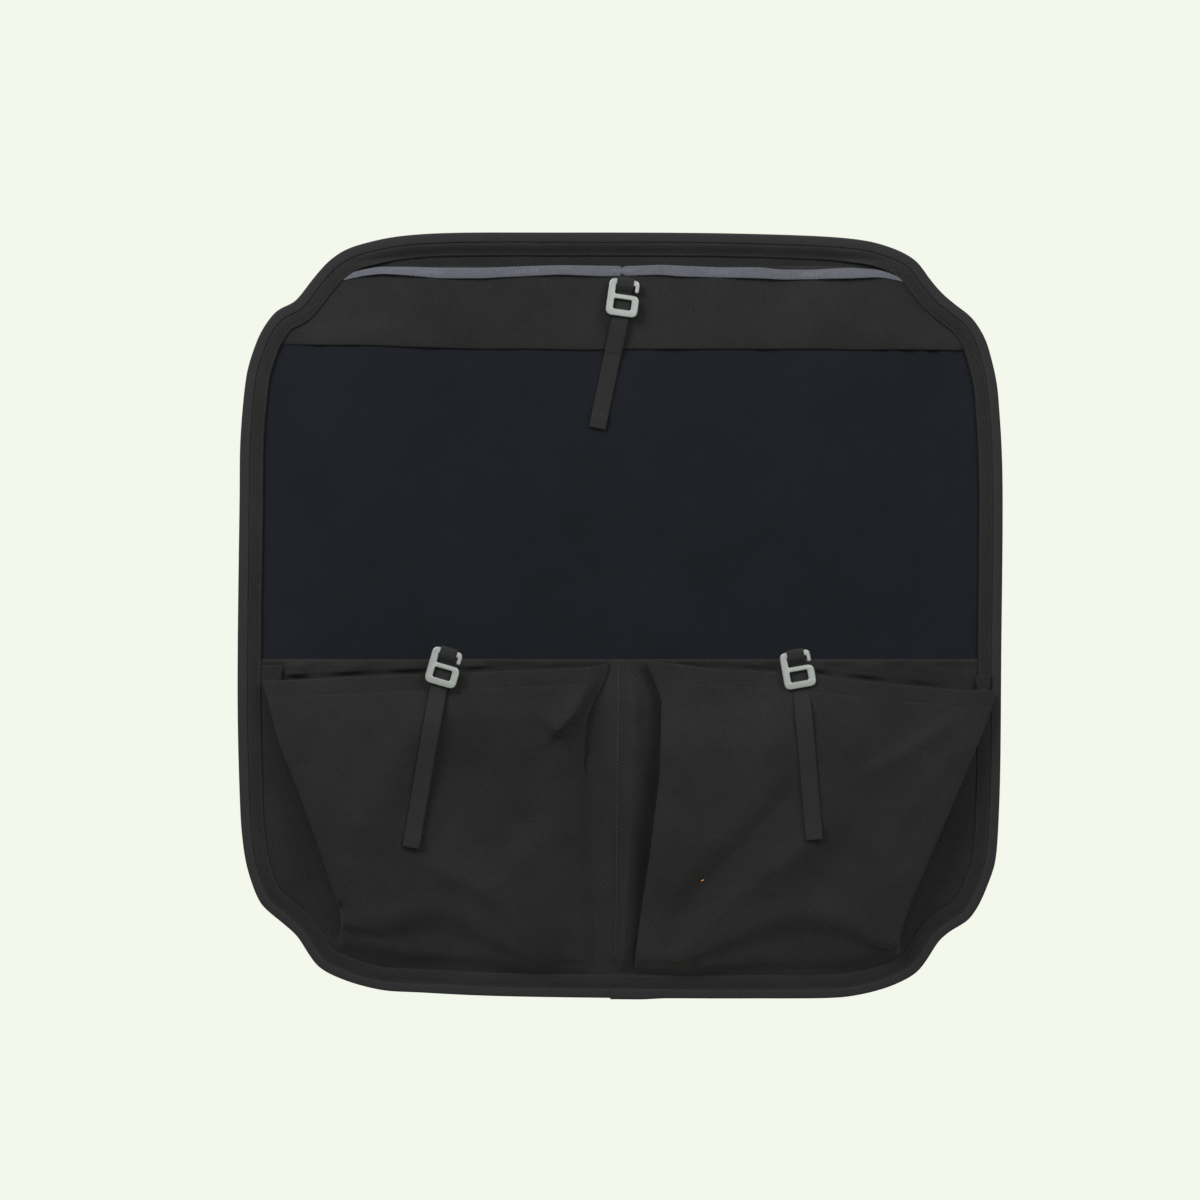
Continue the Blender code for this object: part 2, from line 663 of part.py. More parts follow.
def make_pockets(collection):
    stations = {side: foot_stations(side) for side in (-1, 1)}
    rows = []
    extra = []
    hem_share = HEM_HEIGHT / (HALF_HEIGHT - PANEL_SEAM_BELOW_TOP + HALF_HEIGHT - FACING_INNER)
    shares = [0, hem_share * 0.5, hem_share * 0.94, hem_share * 1.06]
    shares += [0.12, 0.19, 0.27, 0.36, 0.45, 0.54, 0.63, 0.72, 0.8, 0.87, 0.94, 1.0]
    for share in shares:
        row = pocket_row(stations, share, 0, 1)
        hem = HEM_EXTRA if share < hem_share else 0
        for point in row:
            point.y -= hem / 2
        rows.append(row)
        extra.append(hem)
    for way_down, kept in BOTTOM_ROWS:
        rows.append(pocket_row(stations, 1, way_down, kept))
        extra.append(0)
    rows.append(pocket_row(stations, 1, 1, 0, 1))
    extra.append(0)
    cloth_sheet("pocket_fabric", rows, POCKET_THICKNESS, "canvas", collection, extra)


# Flat layers, edge and magnets

def make_lining(collection):
    """The lining lies flat over the core and steps in round its edge, where the binding takes it."""
    loops = (
        (LAYER_INSET, RIM_BACK), (FACING_INNER - CLEARANCE, RIM_BACK), (FACING_INNER + CORE_SLOPE, 0),
    )
    points = []
    for distance, depth in loops:
        points += [Vector((p.x, -depth - LINING_THICKNESS / 2, p.y)) for p in inset(distance)]
    count = len(OUTLINE)
    faces = []
    for ring in range(len(loops) - 1):
        for k in range(count):
            after = (k + 1) % count
            near = ring * count
            faces.append((near + k, near + after, near + count + after, near + count + k))
    faces.append(tuple(range((len(loops) - 1) * count, len(loops) * count)))
    mesh = bpy.data.meshes.new("rear_lining")
    mesh.from_pydata(points, [], faces)
    obj = keep("rear_lining", mesh, "canvas", collection)
    solid = obj.modifiers.new("thickness", "SOLIDIFY")
    solid.thickness = LINING_THICKNESS
    solid.offset = 0


def make_layers(collection):
    layer = inset(LAYER_INSET)
    make_lining(collection)
    core = inset(FACING_INNER + CORE_SLOPE)
    flat_layer("foam_core", [core], CORE_BACK, CORE_THICKNESS, "foam", collection)
    flat_layer("base_panel", [layer], BASE_BACK, BASE_THICKNESS, "canvas", collection)
    left, right = sides(SEWN_EDGE, PANEL_SEAM_Z)
    lower = [Vector((left, PANEL_SEAM_Z)), Vector((right, PANEL_SEAM_Z))]
    lower += [p for p in SEWN_EDGE if p.y < PANEL_SEAM_Z - MM]
    flat_layer("lower_panel", [lower], CANVAS_BACK, CANVAS_THICKNESS, "canvas", collection)
    flat_layer("edge_facing", [layer, FACING_EDGE], FACING_BACK, FACING_THICKNESS, "canvas", collection)


def binding_section(point, normal, grown):
    """The tape's U section round the edge; grown is how far it stands outside its own first turn."""
    t = BINDING_THICKNESS
    r = BINDING_ROUND
    front = BINDING_FRONT + grown
    back = BINDING_BACK - grown
    outer = -grown
    shape = (
        (BINDING_WIDTH, front), (outer + r, front), (outer, front - r), (outer, back + r), (outer + r, back),
        (BINDING_WIDTH, back), (BINDING_WIDTH, back + t), (outer + t, back + t), (outer + t, front - t),
        (BINDING_WIDTH, front - t),
    )
    section = []
    for inward, depth in shape:
        place = point + normal * inward
        section.append(Vector((place.x, -depth, place.y)))
    return section


def make_binding(collection):
    bottom = [i for i, p in enumerate(OUTLINE) if p.y < -HALF_HEIGHT + 5 * MM]
    start = max((i for i in bottom if OUTLINE[i].x < LAP_END - MM), key=lambda i: OUTLINE[i].x)
    order = list(range(start, len(OUTLINE))) + list(range(start))
    last = OUTLINE[order[-1]]
    before = NORMALS[order[-1]]
    level = Vector((0, 1))

    def at(x):
        share = (last.x - x) / (last.x - OUTLINE[start].x)
        return Vector((x, mix(last.y, OUTLINE[start].y, share)))

    sections = [binding_section(at(LAP_START), level, 0), binding_section(at(LAP_END), level, 0)]
    sections += [binding_section(OUTLINE[i], NORMALS[i], 0) for i in order]
    grown = LAP_STEP
    sections.append(binding_section(at(LAP_START + LAP_RAMP), before.lerp(level, 0.5), 0))
    sections.append(binding_section(at(LAP_START + 2 * MM), level, grown))
    sections.append(binding_section(at(LAP_END), level, grown))
    lofted("edge_binding", sections, "binding", collection)


def make_magnets(collection):
    line = inset(BINDING_WIDTH + FACING_WIDTH / 2)
    lengths = [0.0]
    for i, point in enumerate(line):
        lengths.append(lengths[-1] + (line[(i + 1) % len(line)] - point).length)
    bpy.ops.mesh.primitive_cube_add(size=1)
    block = bpy.context.object
    mesh = block.data
    bpy.data.objects.remove(block)
    mesh.materials.append(material_of("steel"))
    for number in range(MAGNET_COUNT):
        distance = lengths[-1] * (number + 0.5) / MAGNET_COUNT
        i = max(k for k in range(len(line)) if lengths[k] <= distance)
        a = line[i]
        b = line[(i + 1) % len(line)]
        place = a.lerp(b, (distance - lengths[i]) / (lengths[i + 1] - lengths[i]))
        obj = bpy.data.objects.new(f"magnet_{number + 1:02d}", mesh)
        collection.objects.link(obj)
        obj.location = (place.x, -RIM_BACK - LINING_THICKNESS - CLEARANCE - MAGNET_THICKNESS / 2, place.y)
        obj.rotation_euler = (0, -math.atan2(b.y - a.y, b.x - a.x), 0)
        obj.scale = (MAGNET_LENGTH, MAGNET_THICKNESS, MAGNET_WIDTH)


# Hooks and straps

def rounded(points, radii, steps=2):
    """A closed outline with its corners rounded, each by its own radius."""
    found = []
    for i, (point, radius) in enumerate(zip(points, radii)):
        a = points[i - 1] - point
        b = points[(i + 1) % len(points)] - point
        reach = min(radius, a.length * 0.45, b.length * 0.45)
        start = point + a.normalized() * reach
        end = point + b.normalized() * reach
        for k in range(steps + 1):
            t = k / steps
            found.append(start.lerp(point, t).lerp(point.lerp(end, t), t))
    return found


SLOT_TOP = HOOK_SLOT_HEIGHT / 2
MOUTH_BOTTOM = SLOT_TOP + HOOK_MIDDLE_BAR
MOUTH_TOP = MOUTH_BOTTOM + HOOK_MOUTH_HEIGHT
HOOK_TOP = MOUTH_TOP + HOOK_TOP_BAR
HOOK_BOTTOM = -SLOT_TOP - HOOK_BOTTOM_BAR
HOOK_HALF = HOOK_SLOT_WIDTH / 2 + HOOK_RAIL


def hook_curve():
    """A G-hook like a 6: a slotted frame below, and a nose that comes round from the left rail above it."""
    half = HOOK_SLOT_WIDTH / 2
    outer = [
        Vector(p)
        for p in (
            (-HOOK_HALF, HOOK_BOTTOM), (HOOK_HALF, HOOK_BOTTOM), (HOOK_HALF, MOUTH_BOTTOM), (-half, MOUTH_BOTTOM),
            (-half, MOUTH_TOP), (half, MOUTH_TOP), (half, MOUTH_TOP - HOOK_NOSE_DROP),
            (HOOK_HALF - MM, MOUTH_TOP - HOOK_NOSE_DROP), (HOOK_HALF - MM, HOOK_TOP), (-HOOK_HALF, HOOK_TOP),
        )
    ]
    slot = [Vector(p) for p in ((-half, -SLOT_TOP), (half, -SLOT_TOP), (half, SLOT_TOP), (-half, SLOT_TOP))]
    curve = bpy.data.curves.new("g_hook", "CURVE")
    curve.dimensions = "2D"
    curve.fill_mode = "BOTH"
    curve.extrude = HOOK_PLATE / 2 - HOOK_BEVEL
    curve.bevel_depth = HOOK_BEVEL
    curve.bevel_resolution = 1
    curve.offset = -HOOK_BEVEL
    round_corner = HOOK_CORNER
    inner_corner = HOOK_INNER_CORNER
    radii = [round_corner] * 3 + [inner_corner] * 2 + [inner_corner] + [round_corner] * 4
    for loop in (rounded(outer, radii), rounded(slot, [inner_corner] * 4)):
        spline = curve.splines.new("POLY")
        spline.points.add(len(loop) - 1)
        for point, place in zip(spline.points, loop):
            point.co = (place.x, place.y, 0, 1)
        spline.use_cyclic_u = True
    return curve


def leaning(degrees):
    """Up, turned clockwise seen from the front."""
    angle = math.radians(degrees)
    return Vector((math.sin(angle), 0, math.cos(angle)))


def hook_height(strap):
    if "below_top" in strap:
        return HALF_HEIGHT - strap["below_top"]
    return mouth_height(strap["x"]) + strap["above_mouth"]


def strap_route(strap, surface, behind):
    """Centre points of a strap: up behind the hook, over its top bar, back through it and down as a tail.

    surface(x, z) is the depth of the cloth behind, and behind is that depth at the hook."""
    t = STRAP_THICKNESS
    slot = Vector((strap["x"], 0, hook_height(strap)))
    up = leaning(strap["lean"])
    low = slot + up * HOOK_BOTTOM
    leg = behind + CLEARANCE + t / 2
    tail = leg + t + CLEARANCE
    plate_back = tail + t / 2 + CLEARANCE
    plate_front = plate_back + HOOK_PLATE
    over = plate_front + CLEARANCE + t / 2
    crown = HOOK_TOP + CLEARANCE + t / 2 + 0.3 * MM
    bend = STRAP_BEND

    def place(height, depth):
        point = slot + up * height
        return Vector((point.x, -depth, point.z))

    def hanging(lean, distance, settles, layer):
        """A point below the hook; layer is how far the strap's centre is from the cloth behind."""
        point = low - leaning(lean) * distance
        reach = mix(STRAP_REACH, STRAP_LAST_REACH, smooth(distance / STRAP_REACH_FALL))
        near_x = [point.x + side * STRAP_WIDTH / 2 for side in (-1, 0, 1)]
        near_z = [point.z + step * reach for step in (-1, 0, 1)]
        cloth = max(surface(px, pz) for px in near_x for pz in near_z)
        depth = max(mix(behind, cloth, smooth(distance / settle)) for settle in settles) + layer
        return Vector((point.x, -depth, point.z))

    leg_length = strap["leg"]
    tail_length = strap["tail"]
    steps = [leg_length * k / 6 for k in range(1, 7)]
    points = []
    for distance in steps[::-1]:
        points.append(hanging(strap["leg_lean"], distance, [STRAP_SETTLE], CLEARANCE + t / 2))
    points += [place(HOOK_BOTTOM, leg), place(SLOT_TOP, leg), place(MOUTH_TOP, leg), place(crown - bend, leg)]
    for k in range(1, 4):
        angle = math.pi / 2 * k / 3
        points.append(place(crown - bend + bend * math.sin(angle), leg + bend * (1 - math.cos(angle))))
    for k in range(0, 4):
        angle = math.pi / 2 * k / 3
        points.append(place(crown - bend + bend * math.cos(angle), over - bend + bend * math.sin(angle)))
    points.append(place(MOUTH_TOP - 0.2 * MM, over))
    middle = (MOUTH_TOP + MOUTH_BOTTOM) / 2
    points.append(place(middle + 2.2 * MM, mix(over, tail, 0.22)))
    points.append(place(middle, mix(over, tail, 0.5)))
    points.append(place(middle - 2.2 * MM, mix(over, tail, 0.78)))
    points += [place(MOUTH_BOTTOM + 0.2 * MM, tail), place(SLOT_TOP, tail), place(-SLOT_TOP, tail)]
    points.append(place(HOOK_BOTTOM, tail))
    folded = tail_length - STRAP_END_FOLD
    steps += [mix(leg_length, folded, share) for share in (0.12, 0.3, 0.5, 0.7, 0.85)]
    steps += [folded - 0.5 * MM, folded + 0.5 * MM, tail_length]
    for distance in steps:
        under = smooth((distance - leg_length) / (12 * MM))
        layer = mix(tail - behind, 2 * CLEARANCE + t, under)
        points.append(hanging(strap["tail_lean"], distance, [STRAP_SETTLE, STRAP_TAIL_SETTLE], layer))
    return points, (plate_back + plate_front) / 2


def make_straps(collection):
    curve = hook_curve()
    curve.materials.append(material_of("steel"))
    for name, strap in STRAPS.items():
        x = strap["x"]
        z = hook_height(strap)
        if name == "top":
            surface = band_front
            lip = LIP_Z - DAISY_WIDTH / 2
            behind = band_front(x, lip) + CLEARANCE + DAISY_THICKNESS + DAISY_BOW
        else:
            side = -1 if name == "left" else 1

            def surface(px, pz, side=side):
                return pocket_front(side, px, pz)

            lips = [mouth_height(x) - 2 * MM - STRAP_SETTLE * share for share in (0, 0.5, 1)]
            edges = [x - STRAP_WIDTH / 2, x + STRAP_WIDTH / 2]
            behind = max(surface(edge, lip) for edge in edges for lip in lips) + CLEARANCE
        centres, plate = strap_route(strap, surface, behind)
        across = []
        for i in range(len(centres)):
            ahead = centres[min(i + 1, len(centres) - 1)] - centres[max(i - 1, 0)]
            flat = Vector((ahead.x, 0, ahead.z))
            if i in range(5, 29):
                flat = leaning(strap["lean"])
            flat = flat if flat.z > 0 else -flat
            across.append(Vector((flat.z, 0, -flat.x)).normalized())
        thicknesses = [STRAP_THICKNESS] * (len(centres) - 2) + [STRAP_THICKNESS * 1.9] * 2
        ribbon(f"{name}_strap", centres, across, STRAP_WIDTH, thicknesses, "strap", collection)
        hook = bpy.data.objects.new(f"{name}_hook", curve)
        collection.objects.link(hook)
        hook.location = (x, -plate, z)
        hook.rotation_euler = Matrix.Rotation(math.radians(strap["lean"]), 3, "Y").to_euler()
        hook.rotation_euler.x = math.pi / 2


def main():
    clear_scene()
    collection = bpy.data.collections.new("van_door_storage_panel")
    bpy.context.scene.collection.children.link(collection)
    make_layers(collection)
    make_binding(collection)
    make_magnets(collection)
    make_upper_pocket(collection)
    make_daisy_webbing(collection)
    make_pockets(collection)
    make_straps(collection)


main()
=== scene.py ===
# %% [markdown]
# # Van door storage panel
# A soft panel that is fixed over the window of a van's rear door. The back face lies on y = 0 and
# the front faces -Y, so every piece is drawn where it hangs on the door.
#
# The cloth could be simulated, but its folds are pressed and sewn in, and the photo shows where each
# one runs. So every cloth is a fine grid whose points follow the seams and folds, given its
# thickness by a Solidify modifier.

# %% Read the frame
import json
import math

import bpy
import numpy as np
from mathutils import Matrix, Vector, noise
from mathutils.bvhtree import BVHTree

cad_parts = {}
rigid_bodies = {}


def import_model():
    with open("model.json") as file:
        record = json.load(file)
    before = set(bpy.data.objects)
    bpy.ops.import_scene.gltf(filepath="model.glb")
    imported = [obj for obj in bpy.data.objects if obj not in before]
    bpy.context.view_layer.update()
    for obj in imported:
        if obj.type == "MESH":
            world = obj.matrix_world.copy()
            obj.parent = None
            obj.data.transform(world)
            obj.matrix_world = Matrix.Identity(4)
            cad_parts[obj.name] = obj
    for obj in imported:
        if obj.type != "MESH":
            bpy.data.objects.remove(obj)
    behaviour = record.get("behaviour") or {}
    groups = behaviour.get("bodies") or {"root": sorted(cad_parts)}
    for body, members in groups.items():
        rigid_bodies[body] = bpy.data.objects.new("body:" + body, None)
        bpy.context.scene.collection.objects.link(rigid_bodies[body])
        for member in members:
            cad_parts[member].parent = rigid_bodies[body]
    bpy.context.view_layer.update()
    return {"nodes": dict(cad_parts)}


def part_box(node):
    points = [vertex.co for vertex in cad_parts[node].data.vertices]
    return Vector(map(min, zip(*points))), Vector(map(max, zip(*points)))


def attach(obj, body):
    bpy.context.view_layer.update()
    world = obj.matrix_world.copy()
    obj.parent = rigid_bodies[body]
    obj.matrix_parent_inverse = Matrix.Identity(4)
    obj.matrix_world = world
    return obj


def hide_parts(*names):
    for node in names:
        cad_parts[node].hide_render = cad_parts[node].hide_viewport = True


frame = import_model()
MM = 0.001
print("the frame has", len(frame["nodes"]), "nodes")

# %% Small helpers


def smooth(t):
    t = np.clip(t, 0.0, 1.0)
    return t * t * (3 - 2 * t)


def mix(a, b, t):
    return a + (b - a) * t


def bump(distance, half_width):
    """A soft ridge: 1 on the line and near 0 two half-widths away."""
    return np.exp(-((distance / half_width) ** 2))


def wander(x, z, size, seed=0.0):
    """Smooth noise between -1 and 1 at each place, for cloth that is never quite flat."""
    x, z = np.broadcast_arrays(x / size, z / size)
    values = [noise.noise((a, seed, b)) for a, b in zip(x.ravel(), z.ravel())]
    return np.array(values).reshape(x.shape)


def pick(piece):
    bpy.ops.object.select_all(action="DESELECT")
    piece.select_set(True)
    bpy.context.view_layer.objects.active = piece


def edit_mesh(piece, operation, **options):
    """Runs one mesh operation on all of a piece."""
    pick(piece)
    bpy.ops.object.mode_set(mode="EDIT")
    bpy.ops.mesh.select_all(action="SELECT")
    operation(**options)
    bpy.ops.object.mode_set(mode="OBJECT")


def new_object(name, data):
    made = bpy.data.objects.new(name, data)
    bpy.context.scene.collection.objects.link(made)
    return made


def lengths_along(line):
    """How far along a line each of its points is."""
    return np.concatenate([[0], np.cumsum(np.linalg.norm(np.diff(line, axis=0), axis=1))])


def places_along(line, lengths, at):
    """The places on a line at distances along it."""
    return np.column_stack([np.interp(at, lengths, column) for column in line.T])


print("a millimetre is", MM, "m, and a bump two half-widths away is", round(float(bump(2, 1)), 3))


# %% [markdown]
# ## The outline
# The corners bulge out, turn in and bulge out again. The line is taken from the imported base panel,
# whose edge lies just inside the binding, and a smooth curve is drawn through its points.

# %% Find the outline in the frame


def layer_loop(node):
    """A flat layer's edge points as (x, z), from the bottom centre clockwise seen from the front."""
    low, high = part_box(node)
    middle = (low + high) / 2
    points = {}
    for vertex in frame["nodes"][node].data.vertices:
        if vertex.co.y < low.y + 0.05 * MM:
            place = (round(vertex.co.x, 5), round(vertex.co.z, 5))
            points[place] = math.atan2(middle.x - place[0], middle.z - place[1]) % math.tau
    return np.array(sorted(points, key=points.get))


def even_loop(points, count):
    """A closed Catmull-Rom curve through the points, then count places evenly along it."""
    fine = []
    total = len(points)
    for i in range(total):
        p0, p1, p2, p3 = (points[(i + k) % total] for k in (-1, 0, 1, 2))
        knots = [0.0]
        for a, b in ((p0, p1), (p1, p2), (p2, p3)):
            knots.append(knots[-1] + math.sqrt(math.dist(a, b)))
        t0, t1, t2, t3 = knots
        for t in np.linspace(t1, t2, 24, endpoint=False):
            a1 = (p0 * (t1 - t) + p1 * (t - t0)) / (t1 - t0)
            a2 = (p1 * (t2 - t) + p2 * (t - t1)) / (t2 - t1)
            a3 = (p2 * (t3 - t) + p3 * (t - t2)) / (t3 - t2)
            b1 = (a1 * (t2 - t) + a2 * (t - t0)) / (t2 - t0)
            b2 = (a2 * (t3 - t) + a3 * (t - t1)) / (t3 - t1)
            fine.append((b1 * (t2 - t) + b2 * (t - t1)) / (t2 - t1))
    fine = np.array(fine + [fine[0]])
    lengths = lengths_along(fine)
    return places_along(fine, lengths, np.linspace(0, lengths[-1], count, endpoint=False)), lengths[-1]


EDGE_COUNT = 720
LAYER_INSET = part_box("base_panel")[0].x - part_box("edge_binding")[0].x
EDGE, PERIMETER = even_loop(layer_loop("base_panel"), EDGE_COUNT)
TANGENT = np.roll(EDGE, -1, axis=0) - np.roll(EDGE, 1, axis=0)
TANGENT /= np.linalg.norm(TANGENT, axis=1)[:, None]
INWARD = np.column_stack([TANGENT[:, 1], -TANGENT[:, 0]])
if np.dot(INWARD[0], EDGE[0]) > 0:
    INWARD = -INWARD
EDGE = EDGE - INWARD * LAYER_INSET


def edge_point(share, inset):
    """x and z of the places a share of the way round the outline, moved in by the inset."""
    at = np.mod(share, 1.0) * EDGE_COUNT
    i = np.floor(at).astype(int) % EDGE_COUNT
    j = (i + 1) % EDGE_COUNT
    part = at - np.floor(at)
    return tuple(
        mix(EDGE[i, k], EDGE[j, k], part) + mix(INWARD[i, k], INWARD[j, k], part) * inset for k in (0, 1)
    )


def share_at(x):
    """The share of the way round for a place near the bottom centre."""
    return (EDGE[0][0] - x) / PERIMETER


def side_lines(inset):
    """The inset outline's left and right halves, each as heights that rise and their x."""
    loop = EDGE + INWARD * inset
    found = []
    for side in (-1, 1):
        half = loop[loop[:, 0] * side > 0]
        half = half[np.argsort(half[:, 1])]
        found.append((half[:, 1], half[:, 0]))
    return found


SEWN_INSET = 4 * MM
SEWN = side_lines(SEWN_INSET)
FACING_INSET = 20.5 * MM
FACING = side_lines(FACING_INSET)


def side_x(lines, side, z):
    """The x of an inset outline at each height, on one side."""
    heights, xs = lines[0 if side < 0 else 1]
    return np.interp(z, heights, xs)


def from_sides(lines, x, z):
    """How far places are from the nearer side of an inset outline."""
    return np.minimum(x - side_x(lines, -1, z), side_x(lines, 1, z) - x)


def across_panel(u, z):
    """The x of places between the two sewn side edges."""
    return mix(side_x(SEWN, -1, z), side_x(SEWN, 1, z), u)


print("the outline is", round(PERIMETER * 1000), "mm round")

# %% [markdown]
# ## Cloth pieces
# Every cloth is made the same way: a grid, its points put in place, a thickness and real UVs. The
# UVs are lengths in metres along the cloth itself, so that the weave keeps its size round a fold.

# %% Make a cloth from a grid

# Each cloth's width, length and area before it is folded
CUTS = {}
WELD = 0.001 * MM


def cloth(name, columns, rows, place, thickness, joined=False):
    """A cloth through place(u, v), which gives x, y and z: u runs across and v down, each from 0 to 1.

    joined closes the sheet on itself where u = 0 meets u = 1."""
    bpy.ops.object.select_all(action="DESELECT")
    bpy.ops.mesh.primitive_grid_add(x_subdivisions=columns, y_subdivisions=rows, size=2, calc_uvs=True)
    piece = bpy.context.object
    piece.name = name
    mesh = piece.data
    mesh.name = name
    v, u = np.meshgrid(np.linspace(0, 1, rows + 1), np.linspace(0, 1, columns + 1), indexing="ij")
    grid = np.stack(np.broadcast_arrays(*place(u, v)), axis=2)
    mesh.vertices.foreach_set("co", grid.ravel())
    across = np.linalg.norm(np.diff(grid, axis=1), axis=2)
    across = np.concatenate([np.zeros((rows + 1, 1)), np.cumsum(across, axis=1)], axis=1)
    across -= across[:, columns // 2 : columns // 2 + 1]
    down = np.linalg.norm(np.diff(grid, axis=0), axis=2)
    down = np.concatenate([np.zeros((1, columns + 1)), np.cumsum(down, axis=0)], axis=0)
    lengths = np.stack([across, -down], axis=2).reshape(-1, 2)
    diagonals = grid[1:, 1:] - grid[:-1, :-1], grid[1:, :-1] - grid[:-1, 1:]
    area = np.linalg.norm(np.cross(*diagonals), axis=2).sum() / 2
    CUTS[name] = (np.ptp(across, axis=1).max(), down.max(), area)
    corners = np.empty(len(mesh.loops), np.int32)
    mesh.loops.foreach_get("vertex_index", corners)
    mesh.uv_layers[0].data.foreach_set("uv", lengths[corners].ravel())
    mesh.update()
    if joined:
        edit_mesh(piece, bpy.ops.mesh.remove_doubles, threshold=WELD)
    if thickness:
        solid = piece.modifiers.new("thickness", "SOLIDIFY")
        solid.thickness = thickness
        solid.offset = 0
        pick(piece)
        bpy.ops.object.modifier_apply(modifier=solid.name)
    edit_mesh(piece, bpy.ops.mesh.normals_make_consistent, inside=False)
    bpy.ops.object.shade_smooth()
    return piece


def finish_piece(piece, material, slot, *nodes):
    """Gives a piece its material, hangs it on the panel and lets it stand for its CAD nodes."""
    piece.data.materials.clear()
    piece.data.materials.append(material)
    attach(piece, "root")
    if nodes:
        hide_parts(*nodes)
    return piece


def report(*made):
    for piece in made:
        print(f"{piece.name}: {len(piece.data.polygons)} faces")


# %% [markdown]
# ## Materials
# All are worked out from the cloth's UV lengths: a plain weave for the canvas, fine ribs for the
# tapes and a close twill for the navy panel. At this distance a weave shows as a faint mottle, so
# each material also has a slow change of tone.

# %% Materials


def new_material(name, roughness):
    material = bpy.data.materials.new(name)
    material.use_nodes = True
    nodes = material.node_tree.nodes
    shader = nodes["Principled BSDF"]
    shader.inputs["Roughness"].default_value = roughness
    return material, nodes, material.node_tree.links, shader


def noise_of(nodes, links, source, scale, detail=2, roughness=0.5):
    """Noise over a set of coordinates."""
    found = nodes.new("ShaderNodeTexNoise")
    found.inputs["Scale"].default_value = scale
    found.inputs["Detail"].default_value = detail
    found.inputs["Roughness"].default_value = roughness
    links.new(source, found.inputs["Vector"])
    return found.outputs["Fac"]


def in_range(nodes, links, source, low, high, start=0, end=1):
    """A value that goes from low to high while its source goes from start to end."""
    found = nodes.new("ShaderNodeMapRange")
    for socket, value in (("From Min", start), ("From Max", end), ("To Min", low), ("To Max", high)):
        found.inputs[socket].default_value = value
    links.new(source, found.inputs["Value"])
    return found.outputs["Result"]


def combine(nodes, links, operation, first, second):
    found = nodes.new("ShaderNodeMath")
    found.operation = operation
    links.new(first, found.inputs[0])
    links.new(second, found.inputs[1])
    return found.outputs["Value"]


def tint(nodes, links, shader, colour, factor):
    """Colours a shader, lighter or darker by a factor."""
    scaled = nodes.new("ShaderNodeVectorMath")
    scaled.operation = "SCALE"
    scaled.inputs[0].default_value = colour
    links.new(factor, scaled.inputs["Scale"])
    links.new(scaled.outputs["Vector"], shader.inputs["Base Color"])


def woven(name, colour, pitch, turn, ribs, strength, mottle, sheen, roughness=0.9, depth=0.12):
    """A cloth: crossed waves make the weave's bump, and noise changes its tone.

    pitch is the yarns' spacing, turn the weave's angle, and ribs is how much more the cross yarns
    stand out than the long ones."""
    material, nodes, links, shader = new_material(name, roughness)
    lengths = nodes.new("ShaderNodeUVMap").outputs["UV"]
    mapping = nodes.new("ShaderNodeMapping")
    mapping.inputs["Rotation"].default_value = (0, 0, turn)
    links.new(lengths, mapping.inputs["Vector"])
    turned = mapping.outputs["Vector"]
    weave = nodes.new("ShaderNodeMix")
    weave.inputs["Factor"].default_value = ribs
    for direction, socket in (("X", "A"), ("Y", "B")):
        wave = nodes.new("ShaderNodeTexWave")
        wave.bands_direction = direction
        wave.inputs["Scale"].default_value = math.pi / 10 / pitch
        wave.inputs["Distortion"].default_value = 0.6
        wave.inputs["Detail"].default_value = 1
        wave.inputs["Detail Scale"].default_value = 0.3
        links.new(turned, wave.inputs["Vector"])
        links.new(wave.outputs["Fac"], weave.inputs[socket])
    fuzz = noise_of(nodes, links, turned, 0.45 / pitch, 3)
    relief = nodes.new("ShaderNodeBump")
    relief.inputs["Strength"].default_value = strength
    relief.inputs["Distance"].default_value = depth * MM
    links.new(combine(nodes, links, "ADD", weave.outputs["Result"], fuzz), relief.inputs["Height"])
    links.new(relief.outputs["Normal"], shader.inputs["Normal"])
    cloud = noise_of(nodes, links, lengths, 9, 6, 0.7)
    tone = in_range(nodes, links, cloud, 1 - mottle, 1 + mottle, 0.3, 0.7)
    yarn = in_range(nodes, links, fuzz, 1 - 2.5 * mottle, 1 + 2.5 * mottle)
    tint(nodes, links, shader, colour, combine(nodes, links, "MULTIPLY", tone, yarn))
    shader.inputs["Specular IOR Level"].default_value = 0.06
    shader.inputs["Sheen Weight"].default_value = sheen
    shader.inputs["Sheen Roughness"].default_value = 0.5
    return material


def grain_of(nodes, links, scale):
    """Fine noise in the piece's own space."""
    return noise_of(nodes, links, nodes.new("ShaderNodeTexCoord").outputs["Object"], scale)


def metal(name, colour, roughness, metallic=1):
    """A tumbled metal: fine noise breaks up its shine."""
    material, nodes, links, shader = new_material(name, roughness)
    shine = in_range(nodes, links, grain_of(nodes, links, 900), roughness - 0.06, roughness + 0.08)
    links.new(shine, shader.inputs["Roughness"])
    shader.inputs["Base Color"].default_value = (*colour, 1)
    shader.inputs["Metallic"].default_value = metallic
    return material


def plain(name, colour, roughness):
    """A cut foam or a sewing thread: one colour with a little noise in it."""
    material, nodes, links, shader = new_material(name, roughness)
    tint(nodes, links, shader, colour, in_range(nodes, links, grain_of(nodes, links, 700), 0.8, 1.2))
    return material


print("a new material's surface can be woven, metal or plain")

# %% The panel's materials

